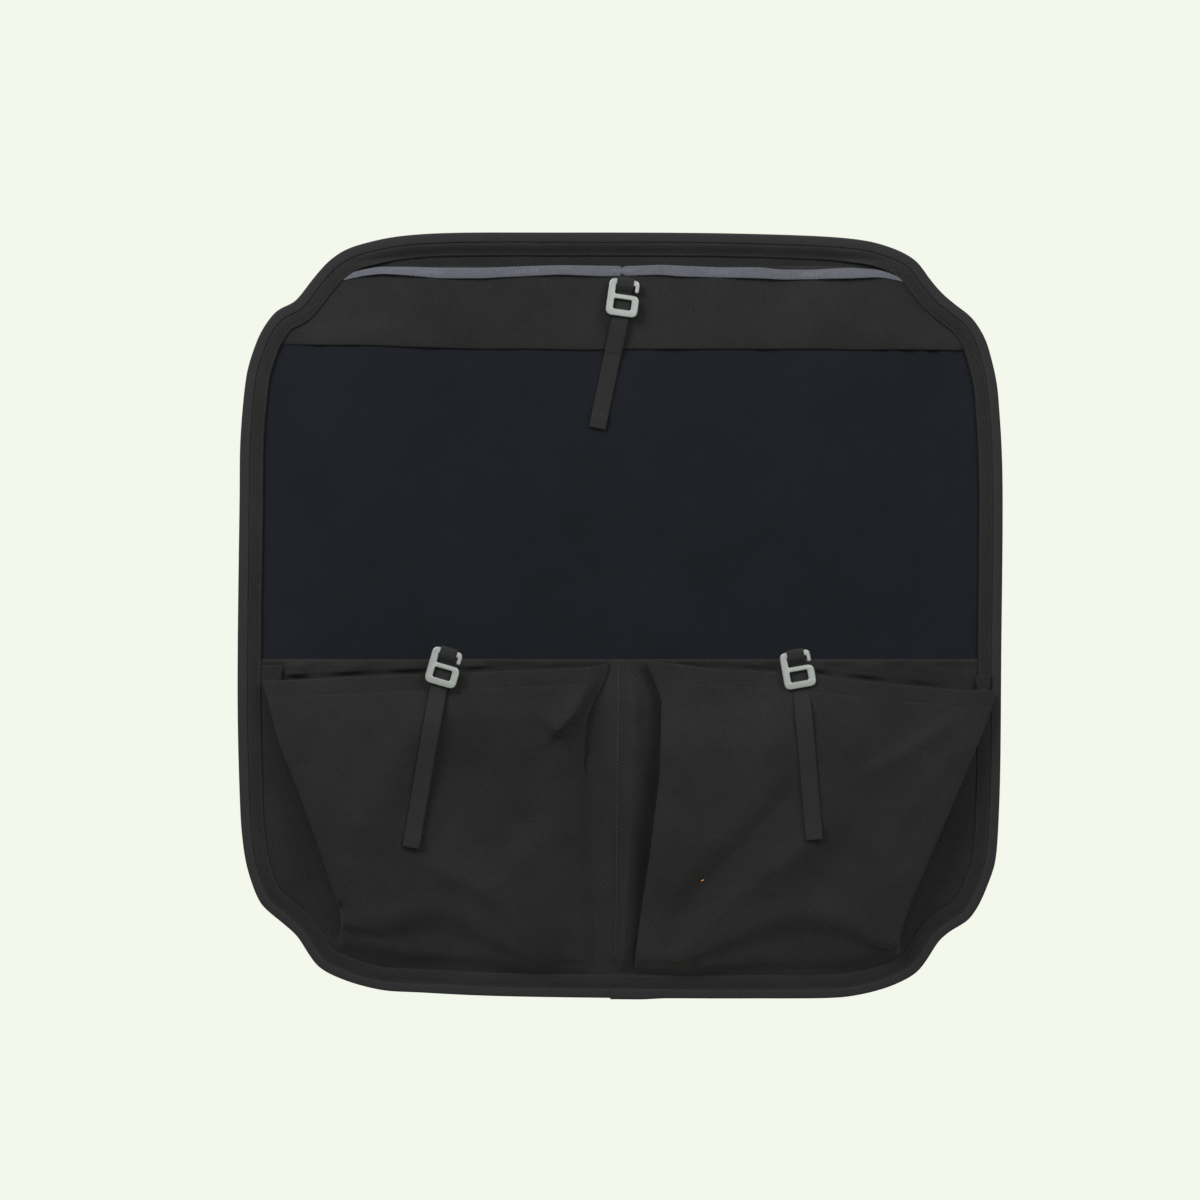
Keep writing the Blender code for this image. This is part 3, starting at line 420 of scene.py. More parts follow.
CANVAS = woven("canvas", (0.0180, 0.0180, 0.0178), 0.8 * MM, 0, 0.5, 0.6, 0.2, 0.05)
NAVY = woven("navy_weave", (0.0094, 0.0103, 0.0138), 0.9 * MM, math.pi / 4, 0.65, 0.6, 0.12, 0.05)
TAPE = woven("binding_tape", (0.0255, 0.0255, 0.027), 0.9 * MM, 0, 0.25, 0.7, 0.05, 0.05)
GREY_TAPE = woven("grey_webbing", (0.105, 0.108, 0.128), 1.9 * MM, 0, 0.1, 1.0, 0.07, 0.05, depth=0.35)
BLACK_TAPE = woven("black_webbing", (0.022, 0.022, 0.022), 1.1 * MM, 0, 0.5, 0.9, 0.05, 0.05)
HOOK_METAL = metal("hook_metal", (0.245, 0.26, 0.254), 0.34, 0.5)
MAGNET_METAL = metal("magnet_metal", (0.60, 0.60, 0.61), 0.3)
FOAM = plain("foam", (0.30, 0.30, 0.31), 0.95)
THREAD = plain("thread", (0.0125, 0.0125, 0.013), 0.8)
PALE_THREAD = plain("pale_thread", (0.038, 0.038, 0.039), 0.8)
GREY_THREAD = plain("grey_thread", (0.170, 0.170, 0.200), 0.7)
print("materials:", len(bpy.data.materials))

# %% [markdown]
# ## The panel's layers
# Lining, foam and base panel lie flat one on the other. Seen from behind only the lining shows: it
# runs over the foam and steps in where the binding takes it. The foam is a pad and stays hidden.

# %% Lining, foam and base panel


def depths(node):
    """How far forward of the door a CAD node's back and front are."""
    low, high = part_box(node)
    return -high.y, -low.y


def towards_centre(u, inset, share):
    """Places on the inset outline, drawn in towards the middle of the panel by a share."""
    x, z = edge_point(u, inset)
    return x * (1 - share), z * (1 - share)


LINING_THICKNESS = 0.5 * MM
CANVAS_THICKNESS = 0.5 * MM
RIM_INSET = FACING_INSET - 0.3 * MM
CORE_INSET = FACING_INSET + 5 * MM
RING_INSET = 60 * MM
RING_SHARE = 0.6
RIM_DEPTH = depths("rear_lining")[1] - LINING_THICKNESS / 2


def layer_place(u, v):
    """A layer's inset, x and z: rings that keep the outline, then rings drawn in to the centre."""
    inset = mix(LAYER_INSET, RING_INSET, np.minimum(v / RING_SHARE, 1))
    return inset, *towards_centre(u, inset, np.maximum(v - RING_SHARE, 0) / (1 - RING_SHARE))


def lining_place(u, v):
    """Flat over the foam, then a step in to the binding with small puckers; it sags a little."""
    inset, x, z = layer_place(u, v)
    flat = smooth((inset - RIM_INSET) / (CORE_INSET - RIM_INSET))
    depth = mix(RIM_DEPTH, LINING_THICKNESS / 2, flat)
    pucker = 0.25 * MM * wander(x, z, 11 * MM) * bump(inset - RIM_INSET, 5 * MM)
    sag = 0.35 * MM * (wander(x, z, 90 * MM, 3) + 1) * smooth((inset - CORE_INSET) / (20 * MM)) / 2
    return x, -depth - np.maximum(pucker, 0) - sag, z


def foam_place(u, v):
    """The foam's skin, from the middle of its back round its edge to the middle of its front."""
    back, front = depths("foam_core")
    turn = mix(-math.pi / 2, math.pi / 2, np.clip((v - 0.35) / 0.3, 0, 1))
    share = np.maximum(np.abs(v - 0.5) - 0.15, 0) / 0.35
    half = (front - back) / 2
    x, z = towards_centre(u, CORE_INSET + half * (1 - np.cos(turn)), share)
    return x, -(back + half) - half * np.sin(turn), z


def base_place(u, v):
    """Flat, with a slight ripple."""
    back, front = depths("base_panel")
    inset, x, z = layer_place(u, v)
    ripple = 0.15 * MM * wander(x, z, 30 * MM, 5)
    return x, -(back + front) / 2 - ripple, z


lining = cloth("lining", 360, 26, lining_place, LINING_THICKNESS, joined=True)
finish_piece(lining, CANVAS, "canvas", "rear_lining")
foam = cloth("foam_pad", 240, 14, foam_place, 0, joined=True)
finish_piece(foam, FOAM, "foam", "foam_core")
base = cloth("base_cloth", 360, 20, base_place, CANVAS_THICKNESS, joined=True)
finish_piece(base, CANVAS, "canvas", "base_panel")
report(lining, foam, base)

# %% [markdown]
# ## The edge
# A folded tape closes the edge all round, and its ends lap at the bottom centre. Inside it a strip
# of canvas is sewn down along both sides, so it stands up a little between its stitch rows. That
# channel holds magnets that grip the steel of the door.

# %% Facing strip and binding tape

FACING_BACK, FACING_FRONT = depths("edge_facing")
BINDING_WIDTH = 8.5 * MM
BINDING_THICKNESS = 0.8 * MM
OUTER_STITCH = 10.0 * MM
INNER_STITCH = 19.0 * MM
CHANNEL_PUFF = 0.55 * MM
MOUTH_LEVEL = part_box("top_band")[1].z


def facing_stand(u, inset):
    """How far the facing stands above its stitch rows."""
    between = (inset - OUTER_STITCH) / (INNER_STITCH - OUTER_STITCH)
    arch = np.sin(math.pi * np.clip(between, 0, 1)) ** 0.8
    x, z = edge_point(u, inset)
    uneven = 1 + 0.35 * wander(x, z, 45 * MM, 2)
    near_rows = bump(inset - OUTER_STITCH, 3 * MM) + bump(inset - INNER_STITCH, 3 * MM)
    pucker = 0.22 * MM * wander(x, z, 7 * MM, 4) * near_rows
    return CHANNEL_PUFF * arch * uneven + pucker


def facing_place(u, v):
    """From the sewn outer edge in to the turned-under one, which settles over the open mouth."""
    inset = mix(LAYER_INSET + 0.5 * MM, FACING_INSET, v)
    wavy = 0.35 * MM * wander(*edge_point(u, inset), 24 * MM, 6) * v
    turned = 0.5 * MM * smooth((v - 0.965) / 0.035)
    x, z = edge_point(u, inset + wavy)
    over_mouth = smooth((z - MOUTH_LEVEL) / (8 * MM)) * smooth((inset - OUTER_STITCH) / (8 * MM))
    settled = (FACING_BACK - depths("base_panel")[1] - 0.4 * MM) * over_mouth
    return x, -(FACING_BACK + FACING_FRONT) / 2 - facing_stand(u, inset) + turned + settled, z


facing = cloth("facing_strip", EDGE_COUNT, 30, facing_place, CANVAS_THICKNESS, joined=True)
finish_piece(facing, CANVAS, "canvas", "edge_facing")

LAP_START = 15.5 * MM
LAP_END = -8.5 * MM
LAP_STEP = 1.1 * MM
BINDING_BACK, BINDING_FRONT = (depths("edge_binding")[0] + LAP_STEP, depths("edge_binding")[1] - LAP_STEP)


def binding_profile(v):
    """(inset, depth) of the tape's middle, from its back edge round the panel's edge to its front edge."""
    half = BINDING_THICKNESS / 2
    back = BINDING_BACK + half
    front = BINDING_FRONT - half
    radius = 1.8 * MM
    turns = np.linspace(0, math.pi / 2, 7)
    insets = [BINDING_WIDTH, *(half + radius * (1 - np.sin(turns)))]
    lows = [back, *(back + radius * (1 - np.cos(turns)))]
    highs = [front, *(front - radius * (1 - np.cos(turns)))]
    line = np.array([*zip(insets, lows), *zip(insets[::-1], highs[::-1])])
    lengths = lengths_along(line)
    return tuple(np.interp(v * lengths[-1], lengths, column) for column in line.T)


def binding_place(u, v):
    """The folded tape, whose end grows over its start at the bottom centre."""
    length = mix(-LAP_START, PERIMETER - LAP_END, u)
    share = share_at(0) + length / PERIMETER
    grown = LAP_STEP * smooth((length - PERIMETER + 42 * MM) / (26 * MM))
    inset, depth = binding_profile(v)
    middle = (BINDING_FRONT + BINDING_BACK) / 2
    away = np.clip((depth - middle) / (2.5 * MM), -1, 1)
    depth += away * grown
    inset -= grown * (1 - smooth(inset / (3 * MM)))
    x, z = edge_point(share, inset)
    ripple = 0.18 * MM * wander(x, z, 16 * MM, 8) * np.abs(away)
    edge = 0.3 * MM * wander(x, z, 26 * MM, 9) * smooth((inset - 5 * MM) / (3 * MM))
    pressed = 0.45 * MM * smooth((inset - BINDING_WIDTH + 3.2 * MM) / (2.6 * MM)) * np.maximum(away, 0)
    x, z = edge_point(share, inset + edge)
    return x, -depth - ripple + pressed, z


binding = cloth("binding_tape", EDGE_COUNT + 8, 36, binding_place, BINDING_THICKNESS)
finish_piece(binding, TAPE, "binding_tape", "edge_binding")
report(facing, binding)

# %% [markdown]
# ## The upper pocket
# One wide pocket: a navy front with a canvas band along its lip. The front stands off the panel most
# at the lip and comes down to it at the sides and at the bottom. The band's seam gathers it a little.

# %% Navy front and band

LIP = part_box("top_band")[1].z
BAND_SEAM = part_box("top_band")[0].z
NAVY_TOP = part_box("navy_panel")[1].z
NAVY_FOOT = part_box("navy_panel")[0].z
PANEL_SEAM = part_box("lower_panel")[1].z
LIP_END_DROP = 7 * MM
UPPER_GAPE = 14 * MM
UPPER_SIDE_FALL = 95 * MM
NAVY_MIDDLE = sum(depths("lower_panel")) / 2 - 0.8 * MM
CANVAS_MIDDLE = sum(depths("lower_panel")) / 2


def lip_height(x):
    """The lip runs level, a little wavy, and falls away only where it goes under the facing's corners."""
    ends = 1 - smooth((from_sides(FACING, x, LIP - LIP_END_DROP) + 8 * MM) / (34 * MM))
    return LIP - LIP_END_DROP * ends - 1.1 * MM * (1 + wander(x, 0, 48 * MM, 7)) * (1 - ends)


def upper_bulge(x, z):
    """How far the upper pocket's front stands off the panel."""
    side = smooth(from_sides(FACING, x, z) / UPPER_SIDE_FALL)
    rise = (z - PANEL_SEAM - 15 * MM) / (LIP - PANEL_SEAM - 15 * MM)
    return UPPER_GAPE * side * np.sin(math.pi / 2 * np.clip(rise, 0, 1)) ** 1.3


def upper_ripple(x, z):
    """The slow waves that the navy front and the band over it share."""
    return 0.9 * MM * wander(x, z, 70 * MM, 11) + 0.35 * MM * wander(x, z, 26 * MM, 12)


def band_seam(x):
    """The seam between band and navy, which runs down a little from the left."""
    tilt = mix(3.6 * MM, -1.6 * MM, smooth((x + 310 * MM) / (220 * MM)))
    return BAND_SEAM + tilt + 0.9 * MM * wander(x, 0, 60 * MM, 15)


def navy_place(u, v):
    """The front bulges and ripples, gathers at the band's seam and drags at its sides."""
    z = mix(NAVY_TOP, NAVY_FOOT, v)
    x = across_panel(u, z)
    slack = smooth(np.minimum(u, 1 - u) / 0.1)
    ripple = upper_ripple(x, z)
    gather = 0.2 * MM * (wander(x * 2.2, z * 0.5, 20 * MM, 13) - 1) * bump(z - BAND_SEAM, 14 * MM)
    near_side = 1 - smooth(from_sides(SEWN, x, z) / (50 * MM))
    drag = 0.5 * MM * wander(x * 0.4, z * 2, 22 * MM, 14) * near_side
    return x, -NAVY_MIDDLE - upper_bulge(x, z) - (ripple + gather + drag) * slack, z


# Where the band's seam draws the cloth into upright puckers: place, half-width and height
SEAM_PUCKERS = [(at * MM, wide * MM, rise * MM) for at, wide, rise in (
    (250, 6, 2.0), (272, 5, 2.2), (293, 4, 1.6), (228, 8, 0.9), (-262, 8, 1.2), (-236, 9, 0.9),
    (-165, 14, 1.0), (46, 12, 1.0), (128, 10, 1.0),
)]


def band_stand(x, z):
    """How far the band stands off the panel, just in front of the navy cloth."""
    bulge = upper_bulge(x, z)
    return bulge + 0.3 * MM * np.minimum(bulge / MM, 1)


def band_place(u, v):
    """Wavy at the lip, gathered and puckered at the seam, where its edge is folded in."""
    level = mix(LIP - LIP_END_DROP, BAND_SEAM, v)
    x = across_panel(u, level)
    seam = band_seam(x)
    z = mix(lip_height(x), seam, v)
    slack = smooth(np.minimum(u, 1 - u) / 0.08)
    near_seam = bump(z - seam, 11 * MM)
    gather = 0.25 * MM * (1 + wander(x * 2.4, z * 0.35, 17 * MM, 16)) * near_seam
    ripple = upper_ripple(x, z) + 0.9 * MM * (1 + wander(x, z, 62 * MM, 17)) * (1 - near_seam)
    ripple += 0.2 * MM * (1 + wander(x, z * 0.6, 18 * MM, 18))
    drawn_in = sum(np.array([rise * bump(x - at, wide) for at, wide, rise in SEAM_PUCKERS])) * near_seam
    fold_in = 0.6 * MM * bump(z - seam, 3.2 * MM)
    return x, -CANVAS_MIDDLE - band_stand(x, z) - (ripple + gather) * slack - drawn_in + fold_in, z


def band_front(x, z):
    """How far forward the band's front is, for the tape that lies on it."""
    return CANVAS_MIDDLE + CANVAS_THICKNESS / 2 + band_stand(x, z)


navy = cloth("navy_front", 190, 150, navy_place, CANVAS_THICKNESS)
finish_piece(navy, NAVY, "navy_weave", "navy_panel")
band = cloth("lip_band", 300, 44, band_place, CANVAS_THICKNESS)
finish_piece(band, CANVAS, "canvas", "top_band")
report(navy, band)

# %% [markdown]
# ## Daisy-chain webbing
# A narrow grey tape runs along the lip. It is tacked down at five places and stands off between
# them, so that things can be clipped behind it. Its ends go in under the facing.

# %% Grey webbing along the lip

DAISY_THICKNESS = 1.2 * MM
DAISY_PITCH = 82.5 * MM
DAISY_TACKS = [1.5 * MM + k * DAISY_PITCH for k in (-2, -1, 0, 1, 2)]
# The tape's upper and lower edges, as (x, below the panel's top edge) in millimetres. It waves a little,
# and at both ends it slides in under the lip's corners, so that only a point of it is seen.
DAISY_UPPER = (
    (-248, 41), (-238, 36.5), (-226, 33), (-208, 30.5), (-183, 31), (-157, 32.2), (-120, 32.4), (-104, 32),
    (-80, 30.8), (-52, 30.2), (-17, 30.6), (10, 30.8), (35, 29.8), (52, 30.6), (87, 32), (122, 32),
    (139, 34), (165, 34), (200, 31.5), (226, 33), (244, 39), (254, 44.5),
)
DAISY_LOWER = (
    (-248, 43), (-238, 41.2), (-226, 38.6), (-208, 36.6), (-183, 38.6), (-157, 41.4), (-120, 41.6),
    (-104, 40.6), (-80, 39.4), (-52, 38.2), (-17, 39.8), (10, 39), (35, 38.4), (52, 40), (87, 40.6),
    (122, 41.6),
    (139, 42.6), (165, 42.2), (200, 41), (226, 39.4), (244, 42.2), (254, 46),
)
DAISY_ENDS = (DAISY_UPPER[0][0] * MM, DAISY_UPPER[-1][0] * MM)


def daisy_edge(points, x):
    """The height of one of the tape's edges, a little eased."""
    places, downs = zip(*points)
    x = x / MM
    down = sum(np.interp(x + 4 * k, places, downs) for k in (-1, 0, 1)) / 3
    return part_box("edge_binding")[1].z - down * MM


def daisy_bow(x):
    """How far the tape stands off between two tacks."""
    return 2.0 * MM * np.abs(np.sin(math.pi * (x - DAISY_TACKS[2]) / DAISY_PITCH))


def daisy_place(u, v):
    """The tape lies just in front of the band, bowed between its tacks and slightly cupped."""
    x = mix(*DAISY_ENDS, u)
    ends = smooth((np.minimum(u, 1 - u) * (DAISY_ENDS[1] - DAISY_ENDS[0]) - 12 * MM) / (25 * MM))
    z = mix(daisy_edge(DAISY_UPPER, x), daisy_edge(DAISY_LOWER, x), v)
    near = np.maximum.reduce([band_front(x + step * 6 * MM, z) for step in (-1, 0, 1)])
    cup = 0.3 * MM * (1 - (2 * v - 1) ** 2)
    return x, -near - 0.2 * MM - DAISY_THICKNESS / 2 - (daisy_bow(x) + cup) * ends, z


daisy = cloth("daisy_tape", 360, 10, daisy_place, DAISY_THICKNESS)
finish_piece(daisy, GREY_TAPE, "grey_webbing", "daisy_webbing")
report(daisy)

# %% [markdown]
# ## The lower pockets
# One wide piece of canvas makes both pockets. It is hemmed along the mouths, pleated at the outer
# sides and on both sides of the centre seam, and gathered into the facing below. Each point is
# placed by how far it is down the face and how far it is across, from fold to fold.

# %% Pocket lines

POCKET_BACK = -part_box("pocket_fabric")[1].y
POCKET_THICKNESS = 0.6 * MM
HEM_HEIGHT = 15 * MM
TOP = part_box("edge_binding")[1].z
HALF_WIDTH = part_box("edge_binding")[1].x
BOTTOM = -TOP

MOUTH_LINE = (
    (-330, 390), (-308, 390), (-280, 389), (-209, 385), (-171, 384), (-122, 382), (-24, 378.5),
    (-2, 372.5), (22, 372), (80, 379.5), (139, 382), (168, 384.5), (227, 391.5), (291, 397.5),
    (330, 398.5),
)
BOTTOM_FOLD = (
    (-330, 66), (-256, 80), (-246, 68), (-205, 61), (-170, 71), (-150, 71), (-122, 60), (-70, 33),
    (-26, 18), (12, 16), (40, 26), (78, 45), (122, 64), (163, 72), (190, 66), (232, 46), (250, 60),
    (330, 66),
)
LEFT_OUTER_FOLD = ((385, 22), (396, 25.5), (439, 37), (490, 55.5), (558, 78), (590, 90), (602, 92))
LEFT_INNER_FOLD = (
    (375, -10), (390, -13), (400, -19), (411, -26), (430, -30), (477, -31.5), (574, -30), (646, -27),
)
RIGHT_INNER_FOLD = ((375, 22), (407, 36), (477, 34.5), (550, 26), (599, 19), (647, 13))
RIGHT_OUTER_FOLD = ((390, 7), (400, 8), (425, 17), (477, 38), (543, 65), (599, 88), (610, 92))
CENTRE_SEAM = ((372, -1), (646, -3.5))

# Soft folds of the faces: points (x, below the top edge) in millimetres, then the half-widths to the
# right and to the left of the way the line runs, the height, and how far the ends take to die out
FACE_FOLDS = (
    (((-163, 400), (-183, 440), (-212, 490), (-236, 545)), (20, 28), 8.5, 40),
    (((-118, 500), (-83, 512), (-65, 540)), (24, 30), -4.5, 40),
    (((-172, 548), (-129, 563), (-97, 584), (-72, 616), (-58, 640)), (16, 22), 7.5, 24),
    (((-236, 590), (-204, 596), (-165, 586), (-141, 590), (-105, 616), (-70, 645)), (7, 12), 4.0, 20),
    (((-30, 386), (-80, 384), (-140, 388)), (6, 10), 1.2, 20),
    (((44, 395), (43, 442), (37, 517), (27, 587)), (10, 10), 3.0, 25),
    (((162, 470), (113, 525), (70, 570), (36, 615)), (12, 20), -5.0, 40),
    (((176, 520), (107, 572), (62, 612), (40, 650)), (12, 16), 5.0, 30),
    (((70, 640), (98, 612), (140, 594), (174, 590), (201, 598), (235, 622)), (9, 14), 3.4, 20),
    (((306, 414), (249, 448), (200, 476)), (6, 12), 3.5, 30),
    (((306, 440), (262, 487), (236, 520)), (12, 16), 3.5, 30),
    (((205, 500), (180, 560), (150, 600)), (20, 20), -3.0, 40),
)


# The sharp crease where the left mouth's inner end turns in
MOUTH_CREASE = (
    (((-12, 392), (-27, 406), (-39, 419), (-50, 431), (-59, 441)), (14, 1.6), 10.0, 12),
)
# Below the faces: the dart under the left pocket's outer corner, and a soft roll beside it
FOOT_FOLDS = (
    (((-240, 580), (-246, 596), (-252, 622)), (4, 5), -8.0, 6),
    (((-232, 610), (-180, 628), (-120, 634)), (8, 8), 3.0, 25),
    (((60, 640), (140, 634), (215, 640)), (8, 8), 2.0, 25),
)


def rounded_line(points, at, reach):
    """The line's value with its corners eased over a reach to each side."""
    places, values = zip(*points)
    return sum(np.interp(at + reach * step, places, values) for step in (-1, -0.5, 0, 0.5, 1)) / 5


def mouth_height(x):
    """The height of the pockets' mouths."""
    return TOP - rounded_line(MOUTH_LINE, x / MM, 5) * MM


def bottom_height(x):
    """The height of the fold under the pockets' faces, kept above the facing."""
    height = rounded_line(BOTTOM_FOLD, x / MM, 6) * MM
    return BOTTOM + np.maximum(height, FACING_INSET + 14 * MM)


def fold_x(points, z, side):
    """The x of a fold at each height: in from a side's edge, or right of the centre at side 0."""
    value = rounded_line(points, (TOP - z) / MM, 8) * MM
    return value if side == 0 else side * (HALF_WIDTH - value)


def fold_place(side, which, share):
    """(x, z) of a pocket's outer or inner fold, share 0 at the mouth and 1 at the bottom fold."""
    lines = {
        (-1, "outer"): LEFT_OUTER_FOLD, (-1, "inner"): LEFT_INNER_FOLD,
        (1, "outer"): RIGHT_OUTER_FOLD, (1, "inner"): RIGHT_INNER_FOLD,
    }
    points = lines[side, which]
    z = TOP - mix(points[0][0], points[-1][0], share) * MM
    return fold_x(points, z, side if which == "outer" else 0), z


def relief(folds, x, z):
    """How far folds raise the cloth at each place."""
    height = np.zeros_like(x)
    for points, (right, left), rise, dies_out in folds:
        line = [(px * MM, TOP - down * MM) for px, down in points]
        nearest = np.full_like(x, 1.0)
        side = np.zeros_like(x)
        along = np.zeros_like(x)
        passed = 0.0
        for (ax, az), (bx, bz) in zip(line, line[1:]):
            sx, sz = bx - ax, bz - az
            length = math.hypot(sx, sz)
            t = np.clip(((x - ax) * sx + (z - az) * sz) / length**2, 0, 1)
            away = np.hypot(x - ax - sx * t, z - az - sz * t)
            closer = away < nearest
            nearest = np.where(closer, away, nearest)
            side = np.where(closer, ((x - ax) * sz - (z - az) * sx) / length, side)
            along = np.where(closer, passed + t * length, along)
            passed += length
        half_width = mix(left, right, smooth(0.5 + side / (4 * MM))) * MM
        ends = smooth(along / (dies_out * MM)) * smooth((passed - along) / (dies_out * MM))
        height += rise * MM * np.exp(-((nearest / half_width) ** 1.7)) * mix(0.15, 1, ends)
    return height


print("pocket mouths", round(mouth_height(-0.15) * 1000), round(mouth_height(0.15) * 1000), "mm up")

# %% [markdown]
# The lower panel lies behind the pockets, its top edge folded over the navy front. Just above the
# mouths it sags forward in a few places, which leaves dark hollows over the lips.

# %% Lower panel

PANEL_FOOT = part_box("lower_panel")[0].z
# Hollows: x, half-width and how far the cloth above stands forward
LIP_HOLLOWS = [(at * MM, wide * MM, stand * MM) for at, wide, stand in (
    (-281, 9, 4.5), (-235, 19, 3.4), (-185, 19, 3.2), (-126, 13, 2.6), (-60, 14, 1.2), (60, 16, 1.8),
    (116, 18, 1.4), (173, 8, 2.6), (215, 14, 3.0), (262, 14, 1.6),
)]


def lower_place(u, v):
    """The panel has a rolled top edge, slow ripples, and hollows over the lips."""
    z = mix(PANEL_SEAM, PANEL_FOOT, v**1.6)
    x = across_panel(u, z)
    below = PANEL_SEAM - z
    rolled = 0.9 * MM * bump(below - 2.2 * MM, 2.6 * MM) - 0.8 * MM * bump(below, 0.8 * MM)
    wavy = 0.5 * MM * wander(x, 0, 80 * MM, 19)
    slack = smooth(below / (8 * MM)) * smooth(np.minimum(u, 1 - u) / 0.05)
    ripple = 0.5 * MM * wander(x, z, 30 * MM, 20) * slack
    above_lip = z - mouth_height(x)
    sag = sum(stand * bump(x - at, wide) for at, wide, stand in LIP_HOLLOWS)
    sag = sag * smooth((above_lip - 0.8 * MM) / (4.2 * MM)) * smooth(below / (7 * MM))
    return x, -CANVAS_MIDDLE - rolled - np.abs(ripple) - sag, z + wavy * (1 - v)


lower = cloth("lower_cloth", 260, 150, lower_place, CANVAS_THICKNESS)
finish_piece(lower, CANVAS, "canvas", "lower_panel")
report(lower)

# %% [markdown]
# The gusset leaves the panel at the facing, tucks under the face as a pleat and comes round a soft
# fold. At the mouth the tuck is widest and its hem stands a little higher than the face's. Between the
# pockets the canvas rises at the centre seam and runs down under the right pocket's fold.

# %% A section across a pocket

MOUTH_GAPE = 22 * MM
MOUTH_END_DEPTH = 9 * MM
LEFT_INNER_MOUTH = 2.5 * MM
MOUTH_TUCK = 17 * MM
MOUTH_RAISE = 13 * MM
OUTER_DEPTH = 24 * MM
OUTER_FOOT = 17 * MM
LEFT_INNER_DEPTH = 9 * MM
RIGHT_INNER_DEPTH = 20 * MM
LEFT_INNER_FOOT = 2.2 * MM
RIGHT_INNER_FOOT = 6 * MM
FACE_BELLY = 6 * MM
PLEAT_TUCK = 8 * MM
FOLD_RADIUS = 1.5 * MM
# A gusset's section: share of the way from where it leaves the panel to the fold, share of the tuck,
# and height in shares of the fold's depth
OUTER_GUSSET = (
    (0, 0, 0), (0.25, 0, 0.03), (0.5, 0, 0.05), (0.8, 0, 0.06), (0.95, 0.1, 0.06), (1, 0.5, 0.10),
    (1, 0.9, 0.2), (1, 1, 0.36), (1, 0.8, 0.56), (1, 0.5, 0.78),
)
LEFT_INNER_GUSSET = (
    (0, 0, 0), (0.3, 0, 0), (0.6, 0, 0.02), (0.85, 0, 0.06), (1, 0.1, 0.12), (1, 0.3, 0.26),
    (1, 0.35, 0.48), (1, 0.25, 0.72),
)
RIGHT_INNER_GUSSET = (
    (0, 0, 0), (0.18, 0, 0), (0.32, 0, 0), (0.45, 0, 0), (0.6, 0, 0), (0.78, 0, 0), (1, 0.05, 0),
    (1, 0.6, 0.02), (1, 1, 0.2), (1, 0.9, 0.5), (1, 0.5, 0.8),
)
# The canvas between the pockets: how high it stands on its way from the centre seam to either fold
LEFT_STRIP = ((0, 4.5 * MM), (0.2, 3.6 * MM), (0.6, 2.4 * MM), (1, 1.6 * MM))
RIGHT_STRIP = ((0, 4.5 * MM), (0.16, 9 * MM), (0.3, 12 * MM), (0.42, 11 * MM), (0.7, 4 * MM), (1, 0))
FOLD_ANGLES = (-75, -110, -145, -180, 145, 110, 80)
GUSSET_STEPS = 26
FACE_STEPS = 88
FACE_ROWS = 118
FOOT_ROWS = 26
# Below the faces: how much of its depth the pocket keeps on its way down to the facing
BOTTOM_ROWS = (
    (0, 1), (0.05, 0.93), (0.12, 0.74), (0.2, 0.62), (0.3, 0.58), (0.45, 0.53), (0.6, 0.42),
    (0.75, 0.24), (0.9, 0.08), (1, 0),
)


def fold_depths(side, share):
    """How far the outer and inner folds stand off the panel: full depth at 0.8 and at 0.33 down the face."""
    most = LEFT_INNER_DEPTH if side < 0 else RIGHT_INNER_DEPTH
    outer = mix(MOUTH_END_DEPTH, OUTER_DEPTH, 1 - (1 - min(share / 0.8, 1)) ** 2)
    outer -= (OUTER_DEPTH - OUTER_FOOT) * smooth((share - 0.75) / 0.25)
    inner_mouth = LEFT_INNER_MOUTH if side < 0 else MOUTH_END_DEPTH
    inner = mix(inner_mouth, most, smooth((share - 0.04) / (0.14 if side < 0 else 0.26)))
    if side < 0:
        inner -= (most - LEFT_INNER_FOOT) * smooth((share - 0.16) / 0.26)
    else:
        inner -= (most - RIGHT_INNER_FOOT) * smooth((share - 0.55) / 0.45)
    return outer, inner


def face_stand(side, t, share, x, z):
    """How far the face stands off the panel; t runs from the outer fold to the inner one."""
    outer, inner = fold_depths(side, share)
    belly = mix(MOUTH_GAPE, FACE_BELLY, smooth(share * 1.2))
    arch = (4 * t * (1 - t)) ** 0.85
    edge = smooth(6 * t) * smooth(6 * (1 - t)) * smooth(share * 8)
    crease = relief(MOUTH_CREASE, x, z) * smooth(18 * (1 - t)) * smooth(share * 40)
    stand = mix(outer, inner, t) + FOLD_RADIUS * smooth(3 * share) + belly * arch
    return stand + relief(FACE_FOLDS, x, z) * edge + crease


def gusset_section(profile, start, fold, depth, inward, tuck, strip=((0, 0), (1, 0))):
    """(x, stand-off) from where the gusset leaves the panel, under the pleat and round the fold."""
    pleated = []
    radius = min(FOLD_RADIUS, depth * 0.3)
    ways, stands = zip(*strip)
    for way, tucked, rise in profile:
        stand = float(np.interp(way, ways, stands)) * (1 - tucked)
        pleated.append((mix(start, fold, way) + inward * tuck * tucked, max(depth * rise, stand)))
    for angle in FOLD_ANGLES:
        across = 1 + math.cos(math.radians(angle))
        rise = math.sin(math.radians(angle))
        pleated.append((fold + inward * radius * across, depth + radius * rise))
    pleated = np.array(pleated)
    k = np.linspace(0, 1, len(pleated))
    flat = np.column_stack([mix(start, fold, k * 0.95), depth * k**2])
    section = mix(flat, pleated, smooth(depth / (4 * MM)))
    lengths = lengths_along(section)
    curved = places_along(section, (lengths / lengths[-1] + k) / 2, np.linspace(0, 1, GUSSET_STEPS))
    curved[1:-1] = (curved[:-2] + 2 * curved[1:-1] + curved[2:]) / 4
    return curved


